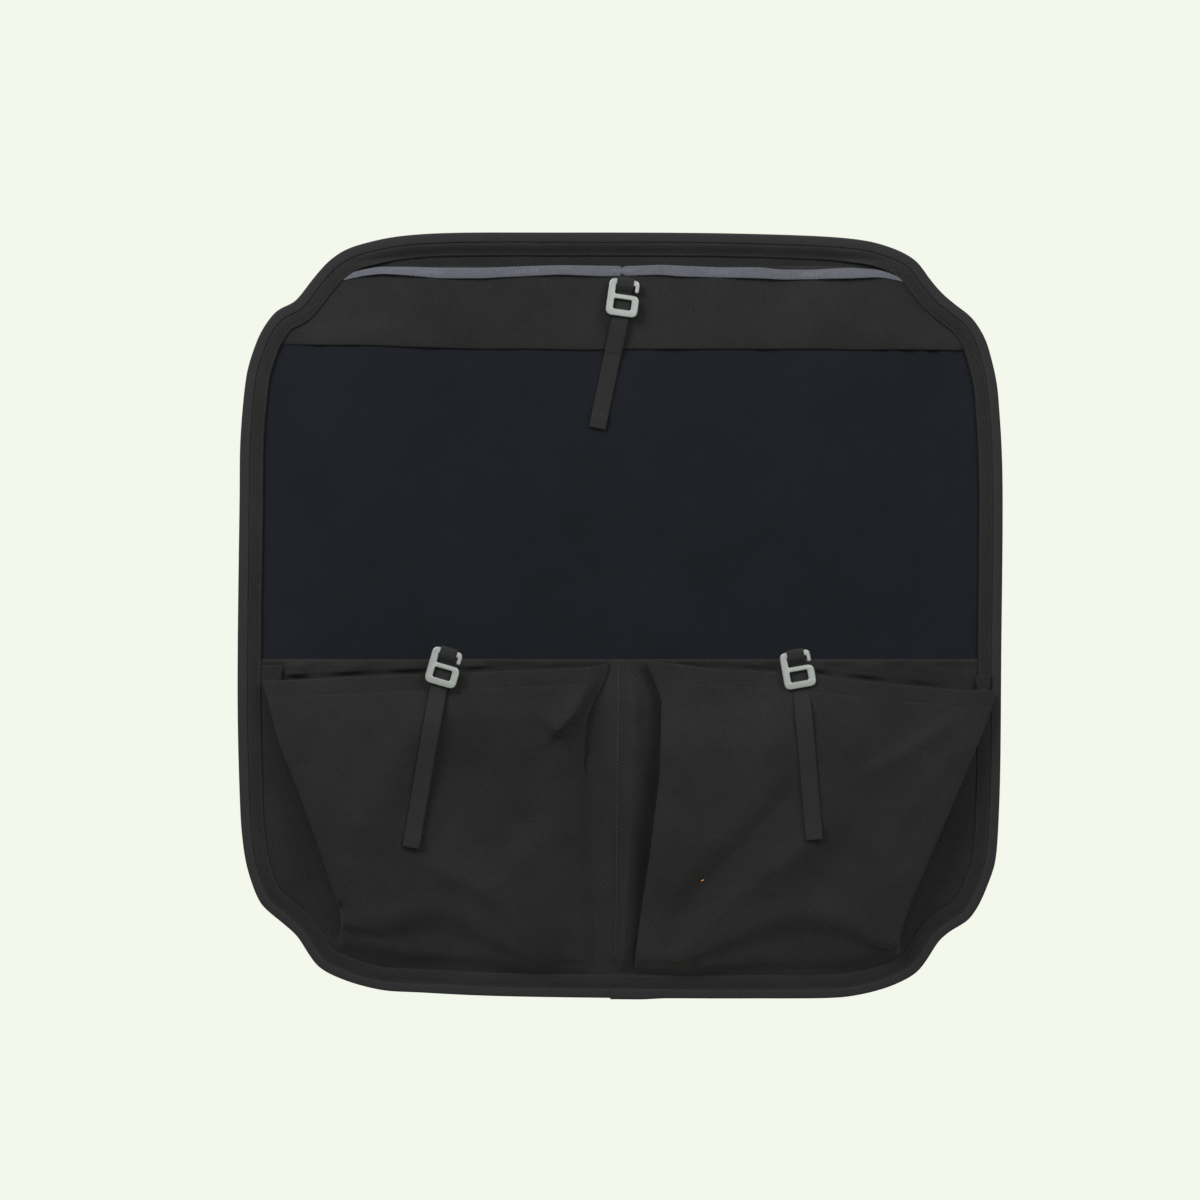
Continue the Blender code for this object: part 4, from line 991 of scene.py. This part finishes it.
def pocket_section(side, share, kept):
    """A pocket's points (x, z, stand-off) from the sewn edge to the centre seam, with kept of the depth."""
    outer, outer_z = fold_place(side, "outer", share)
    inner, inner_z = fold_place(side, "inner", share)
    edge = side_x(SEWN, side, outer_z)
    leaves = side_x(FACING, side, outer_z) - side * 0.3 * MM
    seam = fold_x(CENTRE_SEAM, inner_z, 0)
    outer_depth, inner_depth = (depth * kept for depth in fold_depths(side, share))
    tuck = mix(MOUTH_TUCK, PLEAT_TUCK, smooth(share / 0.12))
    outside = gusset_section(OUTER_GUSSET, leaves, outer, outer_depth, -side, tuck)
    over_channel = smooth((side * (outside[:, 0] - leaves)) / (2.5 * MM)) * kept
    outside[:, 1] = np.maximum(outside[:, 1], 4.2 * MM * over_channel)
    inner_profile = LEFT_INNER_GUSSET if side < 0 else RIGHT_INNER_GUSSET
    strip_kept = kept * mix(0.5, 1, smooth(share / 0.15)) * mix(1, 0.7, smooth((share - 0.7) / 0.3))
    strip = [(way, stand * strip_kept) for way, stand in (LEFT_STRIP if side < 0 else RIGHT_STRIP)]
    inside = gusset_section(inner_profile, seam, inner, inner_depth, side, PLEAT_TUCK, strip)[::-1]
    x = mix(outside[-1][0], inside[0][0], np.linspace(0, 1, FACE_STEPS + 1)[1:-1])
    t = np.clip((x - outer) / (inner - outer), 0, 1)
    stand = face_stand(side, t, share, x, mix(mouth_height(x), bottom_height(x), share)) * kept
    section = np.vstack([[(edge, 0.0)], outside, np.column_stack([x, stand]), inside])
    z = mix(mouth_height(section[:, 0]), bottom_height(section[:, 0]), share)
    at = np.arange(len(section)) / GUSSET_STEPS
    raised = 1 - smooth((at - 0.42) / 0.3)
    z += MOUTH_RAISE * raised * (1 - smooth(share / 0.16))
    return np.column_stack([section[:, 0], z, section[:, 1]])


print("a pocket is", 2 * GUSSET_STEPS + FACE_STEPS, "points across from the facing to the centre seam")

# %% [markdown]
# Below the faces the same points go on down, spread along the facing's inner edge, and one more row
# takes them in under it. Last, the cloth gets its small creases and its bottom fold is eased.

# %% Feet, creases and the finished pockets


def facing_share(axis, value, side):
    """Where the facing's lower inner edge crosses an x (axis 0) or a height (axis 1), as a share round."""
    loop = EDGE + INWARD * FACING_INSET
    a, b = np.roll(loop, 1, axis=0), loop
    crosses = (a[:, axis] - value) * (b[:, axis] - value) <= 0
    crosses &= b[:, 1] < 0
    if axis == 1:
        crosses &= b[:, 0] * side > 0
    i = int(np.argmax(crosses))
    return (i - 1 + (value - a[i, axis]) / (b[i, axis] - a[i, axis])) / EDGE_COUNT


def foot_places(side):
    """Where each point of a pocket's section comes down: on the facing's inner edge and on the sewn edge."""
    section = pocket_section(side, 1, 1)
    start = facing_share(1, section[1][1] - 3 * MM, side)
    end = facing_share(0, section[GUSSET_STEPS + 1][0], side)
    if side > 0 and end < start:
        end += 1
    if side < 0 and end > start:
        end -= 1
    places = []
    for k, (x, z, stand) in enumerate(section):
        share = facing_share(0, x, side)
        if k <= GUSSET_STEPS:
            share = mix(start, end, (k + 0.5) / (GUSSET_STEPS + 1.5))
        inner = edge_point(share, SEWN_INSET if k == 0 else FACING_INSET - 0.5 * MM)
        places.append((*inner, *edge_point(share, SEWN_INSET)))
    return np.array(places)


def wrinkles(points):
    """Small creases: along the hem, across the bunched mouth ends and all over, very slightly."""
    x, y, z = points.T
    below = mouth_height(x) - z
    stands = smooth((-y - POCKET_BACK - 1.5 * MM) / (6 * MM))
    hem = 0.6 * MM * wander(x * 2.2, z * 0.5, 22 * MM, 31) * bump(below - HEM_HEIGHT, 7 * MM)
    hem -= 0.45 * MM * bump(below - HEM_HEIGHT, 1.0 * MM)
    lip = 1.6 * MM * wander(x * 1.6, 0, 40 * MM, 35) * bump(below, 10 * MM)
    slack = 1.1 * MM * wander(x, z, 40 * MM, 32) + 0.4 * MM * wander(x, z, 17 * MM, 33)
    foot = 1.4 * MM * wander(x * 1.5, z * 0.4, 16 * MM, 34) * bump(z - bottom_height(x) + 8 * MM, 14 * MM)
    return (hem + lip + slack + foot + relief(FOOT_FOLDS, x, z)) * stands


def pocket_rows():
    foot = {side: foot_places(side) for side in (-1, 1)}
    rows = []

    def add(share, way_down, kept, under):
        row = []
        for side in (-1, 1):
            section = pocket_section(side, share, kept)
            place = mix(section[:, :2], foot[side][:, :2], way_down)
            place = mix(place, foot[side][:, 2:], under)
            depth = POCKET_BACK + POCKET_THICKNESS / 2 + section[:, 2]
            part = np.column_stack([place[:, 0], -depth, place[:, 1]])
            row.append(part if side < 0 else part[::-1][1:])
        row = np.concatenate(row)
        row[:, 1] -= wrinkles(row)
        rows.append(row)

    for share in np.linspace(0, 1, FACE_ROWS):
        add(share, 0, 1, 0)
    ways, keeps = zip(*BOTTOM_ROWS)
    for way in np.linspace(0, 1, FOOT_ROWS)[1:]:
        add(1, way, float(np.interp(way, ways, keeps)), 0)
    add(1, 1, 0, 1)
    rows = np.array(rows)
    # the bottom fold is soft, most of all towards the centre
    row_weight = bump(np.arange(len(rows)) - FACE_ROWS, 9)[1:-1, None]
    from_corner = np.minimum(rows[FACE_ROWS, :, 0] + 245 * MM, 240 * MM - rows[FACE_ROWS, :, 0])
    softness = row_weight * mix(0.12, 1, smooth(from_corner / (170 * MM)))
    for _ in range(36):
        eased = (rows[:-2, :, 1] + 2 * rows[1:-1, :, 1] + rows[2:, :, 1]) / 4
        rows[1:-1, :, 1] = mix(rows[1:-1, :, 1], eased, softness)
    return rows


POCKET_ROWS = pocket_rows()


def pocket_place(u, v):
    """The rows are the grid's own, so u and v aren't needed."""
    return POCKET_ROWS[..., 0], POCKET_ROWS[..., 1], POCKET_ROWS[..., 2]


rows, columns = (count - 1 for count in POCKET_ROWS.shape[:2])
pocket = cloth("pocket_cloth", columns, rows, pocket_place, POCKET_THICKNESS)
finish_piece(pocket, CANVAS, "canvas", "pocket_fabric")
report(pocket)

# %% [markdown]
# ## Hooks
# The three G-hooks are alike: a frame with a slot below and a nose that comes round from the left
# rail above it. The outline is a flat curve, thickened and with its edges rounded, made mesh once and
# then copied to its place on each strap.

# %% G-hooks

HOOK_PLATE = 3.0 * MM
HOOK_BEVEL = 0.9 * MM
SLOT_HALF = 7.6 * MM
SLOT_TOP = 4.35 * MM
HOOK_HALF = SLOT_HALF + 6.3 * MM
MOUTH_BOTTOM = SLOT_TOP + 4.3 * MM
MOUTH_TOP = MOUTH_BOTTOM + 8.0 * MM
HOOK_TOP = MOUTH_TOP + 5.2 * MM
HOOK_BOTTOM = -SLOT_TOP - 6.0 * MM
NOSE_INNER = SLOT_HALF + 1.4 * MM
NOSE_HALF = HOOK_HALF - 1.3 * MM
NOSE_LOW = MOUTH_TOP - 5.6 * MM
OUTER_CORNER = 6.0 * MM
INNER_CORNER = 1.2 * MM

# Each strap: its hook's slot centre, and then the leans of the hook, the tail and the anchored leg in
# degrees clockwise, and the lengths of that leg and of the tail
STRAPS = {
    "top": {"x": 2 * MM, "z": TOP - 64.5 * MM, "lean": 8, "tail_lean": 12, "leg_lean": 11,
            "leg": 30 * MM, "tail": 98 * MM},
    "left": {"x": -153 * MM, "z": mouth_height(-153 * MM) - 0.3 * MM, "lean": 16, "tail_lean": 10,
             "leg_lean": 10, "leg": 30 * MM, "tail": 142 * MM},
    "right": {"x": 154 * MM, "z": mouth_height(154 * MM) - 2.2 * MM, "lean": -10, "tail_lean": -5,
              "leg_lean": -5, "leg": 30 * MM, "tail": 131 * MM},
}


def rounded(points, radii, steps=7):
    """A closed outline with its corners rounded, each by its own radius."""
    points = [Vector(point) for point in points]
    found = []
    for i, (point, radius) in enumerate(zip(points, radii)):
        a = points[i - 1] - point
        b = points[(i + 1) % len(points)] - point
        reach = min(radius, a.length * 0.45, b.length * 0.45)
        start = point + a.normalized() * reach
        end = point + b.normalized() * reach
        for k in range(steps + 1):
            t = k / steps
            found.append(start.lerp(point, t).lerp(point.lerp(end, t), t))
    return found


def model_hook():
    """The hook's mesh, its slot's centre at the origin and its front facing -Y."""
    frame_line = rounded(
        (
            (-HOOK_HALF, HOOK_BOTTOM), (HOOK_HALF, HOOK_BOTTOM), (HOOK_HALF, MOUTH_BOTTOM),
            (-SLOT_HALF, MOUTH_BOTTOM), (-SLOT_HALF, MOUTH_TOP), (NOSE_INNER, MOUTH_TOP),
            (NOSE_INNER, NOSE_LOW), (NOSE_HALF, NOSE_LOW), (NOSE_HALF, HOOK_TOP), (-HOOK_HALF, HOOK_TOP),
        ),
        [OUTER_CORNER] * 3 + [INNER_CORNER] * 3 + [OUTER_CORNER] * 4,
    )
    slot_line = rounded(
        ((-SLOT_HALF, -SLOT_TOP), (SLOT_HALF, -SLOT_TOP), (SLOT_HALF, SLOT_TOP), (-SLOT_HALF, SLOT_TOP)),
        [INNER_CORNER] * 4,
    )
    curve = bpy.data.curves.new("g_hook", "CURVE")
    curve.dimensions = "2D"
    curve.fill_mode = "BOTH"
    curve.extrude = HOOK_PLATE / 2 - HOOK_BEVEL
    curve.bevel_depth = HOOK_BEVEL
    curve.bevel_resolution = 3
    curve.offset = -HOOK_BEVEL
    for line in (frame_line, slot_line):
        spline = curve.splines.new("POLY")
        spline.points.add(len(line) - 1)
        for point, place in zip(spline.points, line):
            point.co = (place.x, place.y, 0, 1)
        spline.use_cyclic_u = True
    pick(new_object("g_hook", curve))
    bpy.ops.object.convert(target="MESH")
    hook = bpy.context.object
    edit_mesh(hook, bpy.ops.mesh.remove_doubles, threshold=0.01 * MM)
    edit_mesh(hook, bpy.ops.mesh.normals_make_consistent, inside=False)
    hook.rotation_euler = (math.pi / 2, 0, 0)
    bpy.ops.object.transform_apply(location=False, rotation=True, scale=False)
    return hook


def hook_depth(name):
    """How far forward the middle of a hook's plate is."""
    low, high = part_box(f"{name}_hook")
    return -(low.y + high.y) / 2


pattern = model_hook()
for name, strap in STRAPS.items():
    hook = new_object(f"g_hook_{name}", pattern.data.copy())
    hook.data.name = hook.name
    place = Matrix.Translation((strap["x"], -hook_depth(name), strap["z"]))
    hook.data.transform(place @ Matrix.Rotation(math.radians(strap["lean"]), 4, "Y"))
    pick(hook)
    bpy.ops.object.shade_smooth_by_angle(angle=math.radians(50))
    finish_piece(hook, HOOK_METAL, "hook_metal", f"{name}_hook")
    report(hook)
bpy.data.objects.remove(pattern)

# %% [markdown]
# ## Straps
# Each strap's anchored leg goes up behind its hook, over the top bar and back through the mouth, and
# then hangs as a tail whose end is turned under and sewn. Every point below the hook looks for the
# cloth behind it, so that the tape lies on the folds that are there.

# %% A strap's route

STRAP_WIDTH = 14.6 * MM
STRAP_THICKNESS = 1.1 * MM
STRAP_TURNED = 9 * MM
GAP = 0.3 * MM
BEND = 2.2 * MM
SETTLE = 22 * MM
TAIL_SETTLE = 30 * MM


def front_finder(*pieces):
    """A function that gives how far forward the pieces' front is at a place."""
    trees = []
    for piece in pieces:
        mesh = piece.data
        faces = [tuple(face.vertices) for face in mesh.polygons]
        trees.append(BVHTree.FromPolygons([vertex.co for vertex in mesh.vertices], faces))

    def front(x, z):
        hits = [tree.ray_cast(Vector((x, -0.5, z)), Vector((0, 1, 0)))[0] for tree in trees]
        return max([-hit.y for hit in hits if hit] + [POCKET_BACK])

    return front


def leaning(degrees):
    """Up, turned clockwise seen from the front."""
    return Vector((math.sin(math.radians(degrees)), 0, math.cos(math.radians(degrees))))


def strap_route(strap, plate, front):
    """The strap's middle line from the anchored leg's end to the turned-under end of the tail, with the
    way across at each point."""
    t = STRAP_THICKNESS
    slot = Vector((strap["x"], 0, strap["z"]))
    up = leaning(strap["lean"])
    low = slot + up * HOOK_BOTTOM
    tail = plate - HOOK_PLATE / 2 - GAP - t / 2
    leg = tail - t - GAP
    over = plate + HOOK_PLATE / 2 + GAP + t / 2
    crown = HOOK_TOP + t / 2 + 0.6 * MM
    behind = leg - t / 2 - GAP
    found = []

    def place(height, depth):
        point = slot + up * height
        found.append((Vector((point.x, -depth, point.z)), up))

    def hang(lean, distance, layer, settles):
        point = low - leaning(lean) * distance
        reach = mix(9 * MM, 2 * MM, smooth(distance / (25 * MM)))
        across = leaning(lean + 90) * STRAP_WIDTH / 2
        near = [point + across * side for side in (-1, -0.5, 0, 0.5, 1)]
        cloth_depth = max(front(p.x, p.z + step * reach) for p in near for step in (-1, 0, 1))
        depth = max(mix(behind, cloth_depth, smooth(distance / settle)) for settle in settles) + layer
        turn = smooth(distance / (10 * MM))
        found.append((Vector((point.x, -depth, point.z)), up.lerp(leaning(lean), float(turn)).normalized()))

    leg_steps = np.linspace(strap["leg"], 2 * MM, 16)
    for distance in leg_steps:
        hang(strap["leg_lean"], distance, GAP + t / 2, [SETTLE])
    for height in np.linspace(HOOK_BOTTOM, crown - BEND, 12):
        place(height, leg)
    middle = (leg + over) / 2
    for angle in np.linspace(0, math.pi, 13)[1:-1]:
        bulge = (over - leg) / 2
        place(crown - BEND + BEND * math.sin(angle), middle - bulge * math.cos(angle))
    for height in np.linspace(crown - BEND, MOUTH_TOP - 0.2 * MM, 5):
        place(height, over)
    for share in np.linspace(0, 1, 9)[1:]:
        place(mix(MOUTH_TOP - 0.2 * MM, MOUTH_BOTTOM + 0.2 * MM, share), mix(over, tail, smooth(share)))
    for height in np.linspace(SLOT_TOP, HOOK_BOTTOM, 8):
        place(height, tail)
    for distance in np.linspace(2 * MM, strap["tail"], 60):
        clear = smooth((distance - strap["leg"]) / (24 * MM))
        turned = smooth((distance - strap["tail"] + STRAP_TURNED + 4 * MM) / (4 * MM))
        layer = mix(mix(tail - behind, GAP + 0.5 * t, clear), GAP + 1.6 * t, turned)
        hang(strap["tail_lean"], distance, layer, [SETTLE, TAIL_SETTLE])
    end, way = found[-1]
    for angle in (60, 90, 120):
        drop = 0.55 * t * math.sin(math.radians(angle))
        inward = 0.55 * t * (1 - math.cos(math.radians(angle)))
        found.append((end - way * drop + Vector((0, inward, 0)), way))
    for distance in np.linspace(0, STRAP_TURNED, 8):
        hang(strap["tail_lean"], strap["tail"] - distance, GAP + 0.5 * t, [SETTLE])
    return found


def even_route(found, steps):
    """The route at even steps along its length, eased so that the tape bends softly."""
    line = np.array([tuple(point) for point, way in found])
    ways = np.array([tuple(way) for point, way in found])
    lengths = lengths_along(line)
    at = np.linspace(0, lengths[-1], steps + 1)
    line, ways = places_along(line, lengths, at), places_along(ways, lengths, at)
    for _ in range(2):
        line[1:-1] = (line[:-2] + 2 * line[1:-1] + line[2:]) / 4
    for _ in range(12):
        ways[1:-1] = (ways[:-2] + 2 * ways[1:-1] + ways[2:]) / 4
    across = np.column_stack([ways[:, 2], np.zeros(len(ways)), -ways[:, 0]])
    return line, across / np.linalg.norm(across, axis=1)[:, None]


print("straps:", ", ".join(STRAPS))

# %% Strap tapes

front_of_band = front_finder(navy, band, daisy)
front_of_pocket = front_finder(pocket)
STRAP_STEPS = 260
for name, strap in STRAPS.items():
    front = front_of_band if name == "top" else front_of_pocket
    line, across = even_route(strap_route(strap, hook_depth(name), front), STRAP_STEPS)

    def strap_place(u, v, line=line, across=across):
        half = (u - 0.5)[..., None] * STRAP_WIDTH
        point = line[:, None, :] + across[:, None, :] * half
        cup = 0.15 * MM * np.cos(math.pi * (u - 0.5))
        return point[..., 0], point[..., 1] - cup, point[..., 2]

    tape = cloth(f"{name}_tape", 10, STRAP_STEPS, strap_place, STRAP_THICKNESS - 0.1 * MM)
    finish_piece(tape, BLACK_TAPE, "black_webbing", f"{name}_strap")
    report(tape)

# %% [markdown]
# ## Stitching
# A seam is a run of short rounded stitches, each a few faces, in one mesh. Both ends of every stitch
# look for the cloth under them, so that a row follows the puckers it makes.

# %% Seams

STITCH_PITCH = 3.4 * MM
STITCH_LENGTH = 2.5 * MM
STITCH_HALF = 0.28 * MM
BINDING_STITCH = 6.7 * MM
STITCH_RINGS = ((-0.5, 0.25), (-0.3, 0.9), (0.3, 0.9), (0.5, 0.25))
RING_POINTS = 5


def stitches(name, paths, front, pitch=STITCH_PITCH, length=STITCH_LENGTH, half=STITCH_HALF):
    """One mesh of stitches along paths of (x, z) places, on the front that front(x, z) finds."""
    starts, ends = [], []
    for path in paths:
        path = np.array(path, float)
        lengths = lengths_along(path)
        count = max(int(lengths[-1] / pitch), 1)
        for middle in (np.arange(count) + 0.5) * lengths[-1] / count:
            for found, at in ((starts, middle - length / 2), (ends, middle + length / 2)):
                x, z = (float(np.interp(at, lengths, path[:, k])) for k in (0, 1))
                found.append((x, -front(x, z), z))
    starts, ends = np.array(starts), np.array(ends)
    along = (ends - starts) / np.linalg.norm(ends - starts, axis=1)[:, None]
    across = np.cross(along, (0.0, -1.0, 0.0))
    across /= np.linalg.norm(across, axis=1)[:, None]
    outward = np.cross(across, along)
    places = []
    for step, radius in STITCH_RINGS:
        for angle in np.arange(RING_POINTS) * math.tau / RING_POINTS:
            away = across * math.cos(angle) + outward * math.sin(angle)
            places.append((starts + ends) / 2 + along * step * length + away * radius * half)
    places = np.stack(places, axis=1)
    one = []
    for ring in range(len(STITCH_RINGS) - 1):
        for k in range(RING_POINTS):
            a, b = ring * RING_POINTS + k, ring * RING_POINTS + (k + 1) % RING_POINTS
            one.append((a, b, b + RING_POINTS, a + RING_POINTS))
    last = (len(STITCH_RINGS) - 1) * RING_POINTS
    caps = [tuple(range(RING_POINTS))[::-1], tuple(range(last, last + RING_POINTS))]
    step = len(STITCH_RINGS) * RING_POINTS
    faces = [tuple(k + step * n for k in face) for n in range(len(starts)) for face in one + caps]
    mesh = bpy.data.meshes.new(name)
    mesh.from_pydata(places.reshape(-1, 3).tolist(), [], faces)
    piece = new_object(name, mesh)
    edit_mesh(piece, bpy.ops.mesh.normals_make_consistent, inside=False)
    bpy.ops.object.shade_smooth()
    return piece


def row_round(inset, share=np.linspace(0, 1, 1441)):
    """A closed row at an inset from the panel's edge."""
    return [np.column_stack(edge_point(share, inset))]


def hem_row(side, below):
    """A row along a pocket's mouth, from its outer fold to its inner one."""
    outer = fold_place(side, "outer", 0.03)[0]
    inner = fold_place(side, "inner", 0.05)[0]
    x = np.linspace(outer + 4 * MM * -side, inner + 5 * MM * side, 120)
    return np.column_stack([x, mouth_height(x) - below])


front_of_facing = front_finder(facing)
z = np.linspace(mouth_height(0.0) - 3 * MM, bottom_height(0.0) + 4 * MM, 60)
centre_row = np.column_stack([fold_x(CENTRE_SEAM, z, 0) - 0.4 * MM, z])

SEAMS = {}
for name, paths, front, thread, slot in (
    ("channel_stitches_outer", row_round(OUTER_STITCH), front_of_facing, THREAD, "canvas"),
    ("channel_stitches_inner", row_round(INNER_STITCH), front_of_facing, THREAD, "canvas"),
    ("binding_stitches", row_round(BINDING_STITCH), front_finder(binding), THREAD, "binding_tape"),
    ("hem_stitches", [hem_row(-1, HEM_HEIGHT), hem_row(1, HEM_HEIGHT)], front_of_pocket, THREAD, "canvas"),
    ("centre_stitches", [centre_row], front_of_pocket, PALE_THREAD, "canvas"),
):
    SEAMS[name] = finish_piece(stitches(name, paths, front), thread, slot)
    report(SEAMS[name])

# %% Bar tacks, strap ends and the lint fleck

TACK_HALF = 10 * MM
# Finer stitches, each by its pitch, length and half-width
TACK_STITCH = (2.4 * MM, 1.9 * MM, 0.3 * MM)
END_STITCH = (2.3 * MM, 1.8 * MM, 0.25 * MM)
FLECK = (3.4 * MM, 3.0 * MM, 0.6 * MM)
front_of_daisy = front_finder(daisy)
tacks = []
for middle in DAISY_TACKS:
    x = np.linspace(middle - TACK_HALF, middle + TACK_HALF, 9)
    upper, lower_edge = daisy_edge(DAISY_UPPER, x), daisy_edge(DAISY_LOWER, x)
    for share in (0.38, 0.5, 0.62):
        tacks.append(np.column_stack([x, mix(upper, lower_edge, share)]))
SEAMS["tacks"] = stitches("bar_tacks", tacks, front_of_daisy, *TACK_STITCH)
finish_piece(SEAMS["tacks"], GREY_THREAD, "grey_webbing")
report(SEAMS["tacks"])

for name, strap in STRAPS.items():
    tape = bpy.data.objects[f"{name}_tape"]
    slot_centre = Vector((strap["x"], 0, strap["z"]))
    hook_foot = slot_centre + leaning(strap["lean"]) * HOOK_BOTTOM
    across = leaning(strap["tail_lean"] + 90) * (STRAP_WIDTH / 2 - 2 * MM)
    rows = []
    for back in (2.2 * MM, 7.0 * MM):
        middle = hook_foot - leaning(strap["tail_lean"]) * (strap["tail"] - back)
        rows.append([(end.x, end.z) for end in (middle - across, middle + across)])
    seam = stitches(f"{name}_strap_stitches", rows, front_finder(tape), *END_STITCH)
    SEAMS[name] = finish_piece(seam, THREAD, "black_webbing")

LINT_PLACE = np.array((71.3 * MM, -229.2 * MM))
LINT_REACH = np.array((1.6 * MM, 0.8 * MM))
lint_row = [LINT_PLACE - LINT_REACH, LINT_PLACE + LINT_REACH]
lint = stitches("lint_fleck", [lint_row], front_of_pocket, *FLECK)
finish_piece(lint, plain("lint", (0.62, 0.22, 0.05), 0.8), "canvas")
report(lint)

# %% [markdown]
# ## What each cloth was cut from
# A cloth keeps its area, so its grid's own lengths and area give the piece it was cut to. The lining
# and the base panel are rings of points round the panel, so their cut is the panel's outline.

# %% Sheets' cuts

OUTLINE_CUT = tuple(float(high - low) for low, high in zip(*(EDGE.min(axis=0), EDGE.max(axis=0))))
made = bpy.data.objects
for piece, held, rests_on, with_pieces in (
    (lining, "laid", [foam], []),
    (base, "laid", [foam], []),
    (facing, "laid", [base], [SEAMS["channel_stitches_outer"], SEAMS["channel_stitches_inner"]]),
    (binding, "folded", [facing, lining], [SEAMS["binding_stitches"]]),
    (navy, "hung", [base], []),
    (band, "hung", [navy], []),
    (lower, "laid", [base], []),
    (daisy, "hung", [band], [SEAMS["tacks"]]),
    (pocket, "gathered", [lower], [SEAMS["hem_stitches"], SEAMS["centre_stitches"], lint]),
    *(
        (made[f"{name}_tape"], "folded", [made[f"g_hook_{name}"], behind], [SEAMS[name]])
        for name, behind in (("top", band), ("left", pocket), ("right", pocket))
    ),
):
    wide, long, area = CUTS[piece.name]
    if piece in (lining, base):
        wide, long = OUTLINE_CUT
    area = min(area, wide * long)
    print(f"{piece.name}: cut {wide * 1000:.0f} x {long * 1000:.0f} mm, {area:.4f} square metres")

# %% [markdown]
# ## Camera and light
# The photo looks straight at the panel. Two large soft lights stand above, the left one stronger, and
# leave a dark gap under each pocket's fold. A weak one in front fills the folds. The background is a
# pale world colour that the camera sees, and the floor under the panel keeps only its shadow.

# %% Camera, lights and background

# A pixel of the photo, and the photo's middle, which is 20 pixels left of the panel's and 15.5 above it
PHOTO_SCALE = 0.87 * MM
PHOTO_PIXELS = 1200
PHOTO_MIDDLE = Vector((-20 * PHOTO_SCALE, -0.011, 15.5 * PHOTO_SCALE))
CAMERA_DISTANCE = 3.0
SENSOR = 36

camera_data = bpy.data.cameras.new("camera")
camera = new_object("camera", camera_data)
camera.location = PHOTO_MIDDLE - Vector((0, CAMERA_DISTANCE, 0))
camera.rotation_euler = (math.pi / 2, 0, 0)
camera_data.sensor_width = SENSOR
camera_data.lens = SENSOR * CAMERA_DISTANCE / (PHOTO_PIXELS * PHOTO_SCALE)
bpy.context.scene.camera = camera


def soft_light(name, place, size, power):
    """A square soft light that faces the panel's middle."""
    data = bpy.data.lights.new(name, "AREA")
    data.size = size
    data.energy = power
    light = new_object(name, data)
    light.location = place
    light.rotation_euler = (-Vector(place)).to_track_quat("-Z", "Y").to_euler()


soft_light("left_key", (-1.35, -1.6, 1.5), 1.1, 50)
soft_light("right_key", (1.35, -1.6, 1.5), 1.1, 29)
soft_light("fill", (0.4, -3.0, 0.6), 1.8, 16)

world = bpy.data.worlds.new("studio")
bpy.context.scene.world = world
world.use_nodes = True
nodes = world.node_tree.nodes
links = world.node_tree.links
backdrop = nodes.new("ShaderNodeBackground")
backdrop.inputs["Color"].default_value = (0.904, 0.930, 0.831, 1)
backdrop.inputs["Strength"].default_value = 1
studio = nodes["Background"]
studio.inputs["Color"].default_value = (1, 1, 1, 1)
studio.inputs["Strength"].default_value = 0.26
path = nodes.new("ShaderNodeLightPath")
sees = path.outputs["Is Camera Ray"]
for kind in ("Is Glossy Ray", "Is Transmission Ray"):
    sees = combine(nodes, links, "MAXIMUM", sees, path.outputs[kind])
choose = nodes.new("ShaderNodeMixShader")
links.new(sees, choose.inputs["Fac"])
links.new(studio.outputs["Background"], choose.inputs[1])
links.new(backdrop.outputs["Background"], choose.inputs[2])
links.new(choose.outputs["Shader"], nodes["World Output"].inputs["Surface"])
bpy.context.scene.view_settings.view_transform = "Standard"
print("the camera is", CAMERA_DISTANCE, "m away, with a lens of", round(camera_data.lens), "mm")

# %% Floor

FLOOR_RADIUS = 0.5
FLOOR_HEIGHT = -0.6
FADE_START = 0.3
bpy.ops.object.select_all(action="DESELECT")
bpy.ops.mesh.primitive_circle_add(
    vertices=96, radius=FLOOR_RADIUS, fill_type="NGON", location=(0, 0, FLOOR_HEIGHT)
)
floor = bpy.context.object
floor.name = "floor"
floor_material, nodes, links, shader = new_material("pale_floor", 0.9)
shader.inputs["Base Color"].default_value = (0.85, 0.87, 0.80, 1)
distance = nodes.new("ShaderNodeVectorMath")
distance.operation = "LENGTH"
links.new(nodes.new("ShaderNodeTexCoord").outputs["Object"], distance.inputs[0])
clear = in_range(nodes, links, distance.outputs["Value"], 1, 0, FADE_START, FLOOR_RADIUS - 0.01)
links.new(clear, shader.inputs["Alpha"])
floor.data.materials.append(floor_material)
print("the floor is", 2 * FLOOR_RADIUS, "m across")

# %% [markdown]
# ## Finish
# The magnets are sewn in and can't be seen, so their CAD solids stay as they are, in metal.

# %% Magnets' finish
for number in range(1, 13):
    node = frame["nodes"][f"magnet_{number:02d}"]
    node.data.materials.clear()
    node.data.materials.append(MAGNET_METAL)
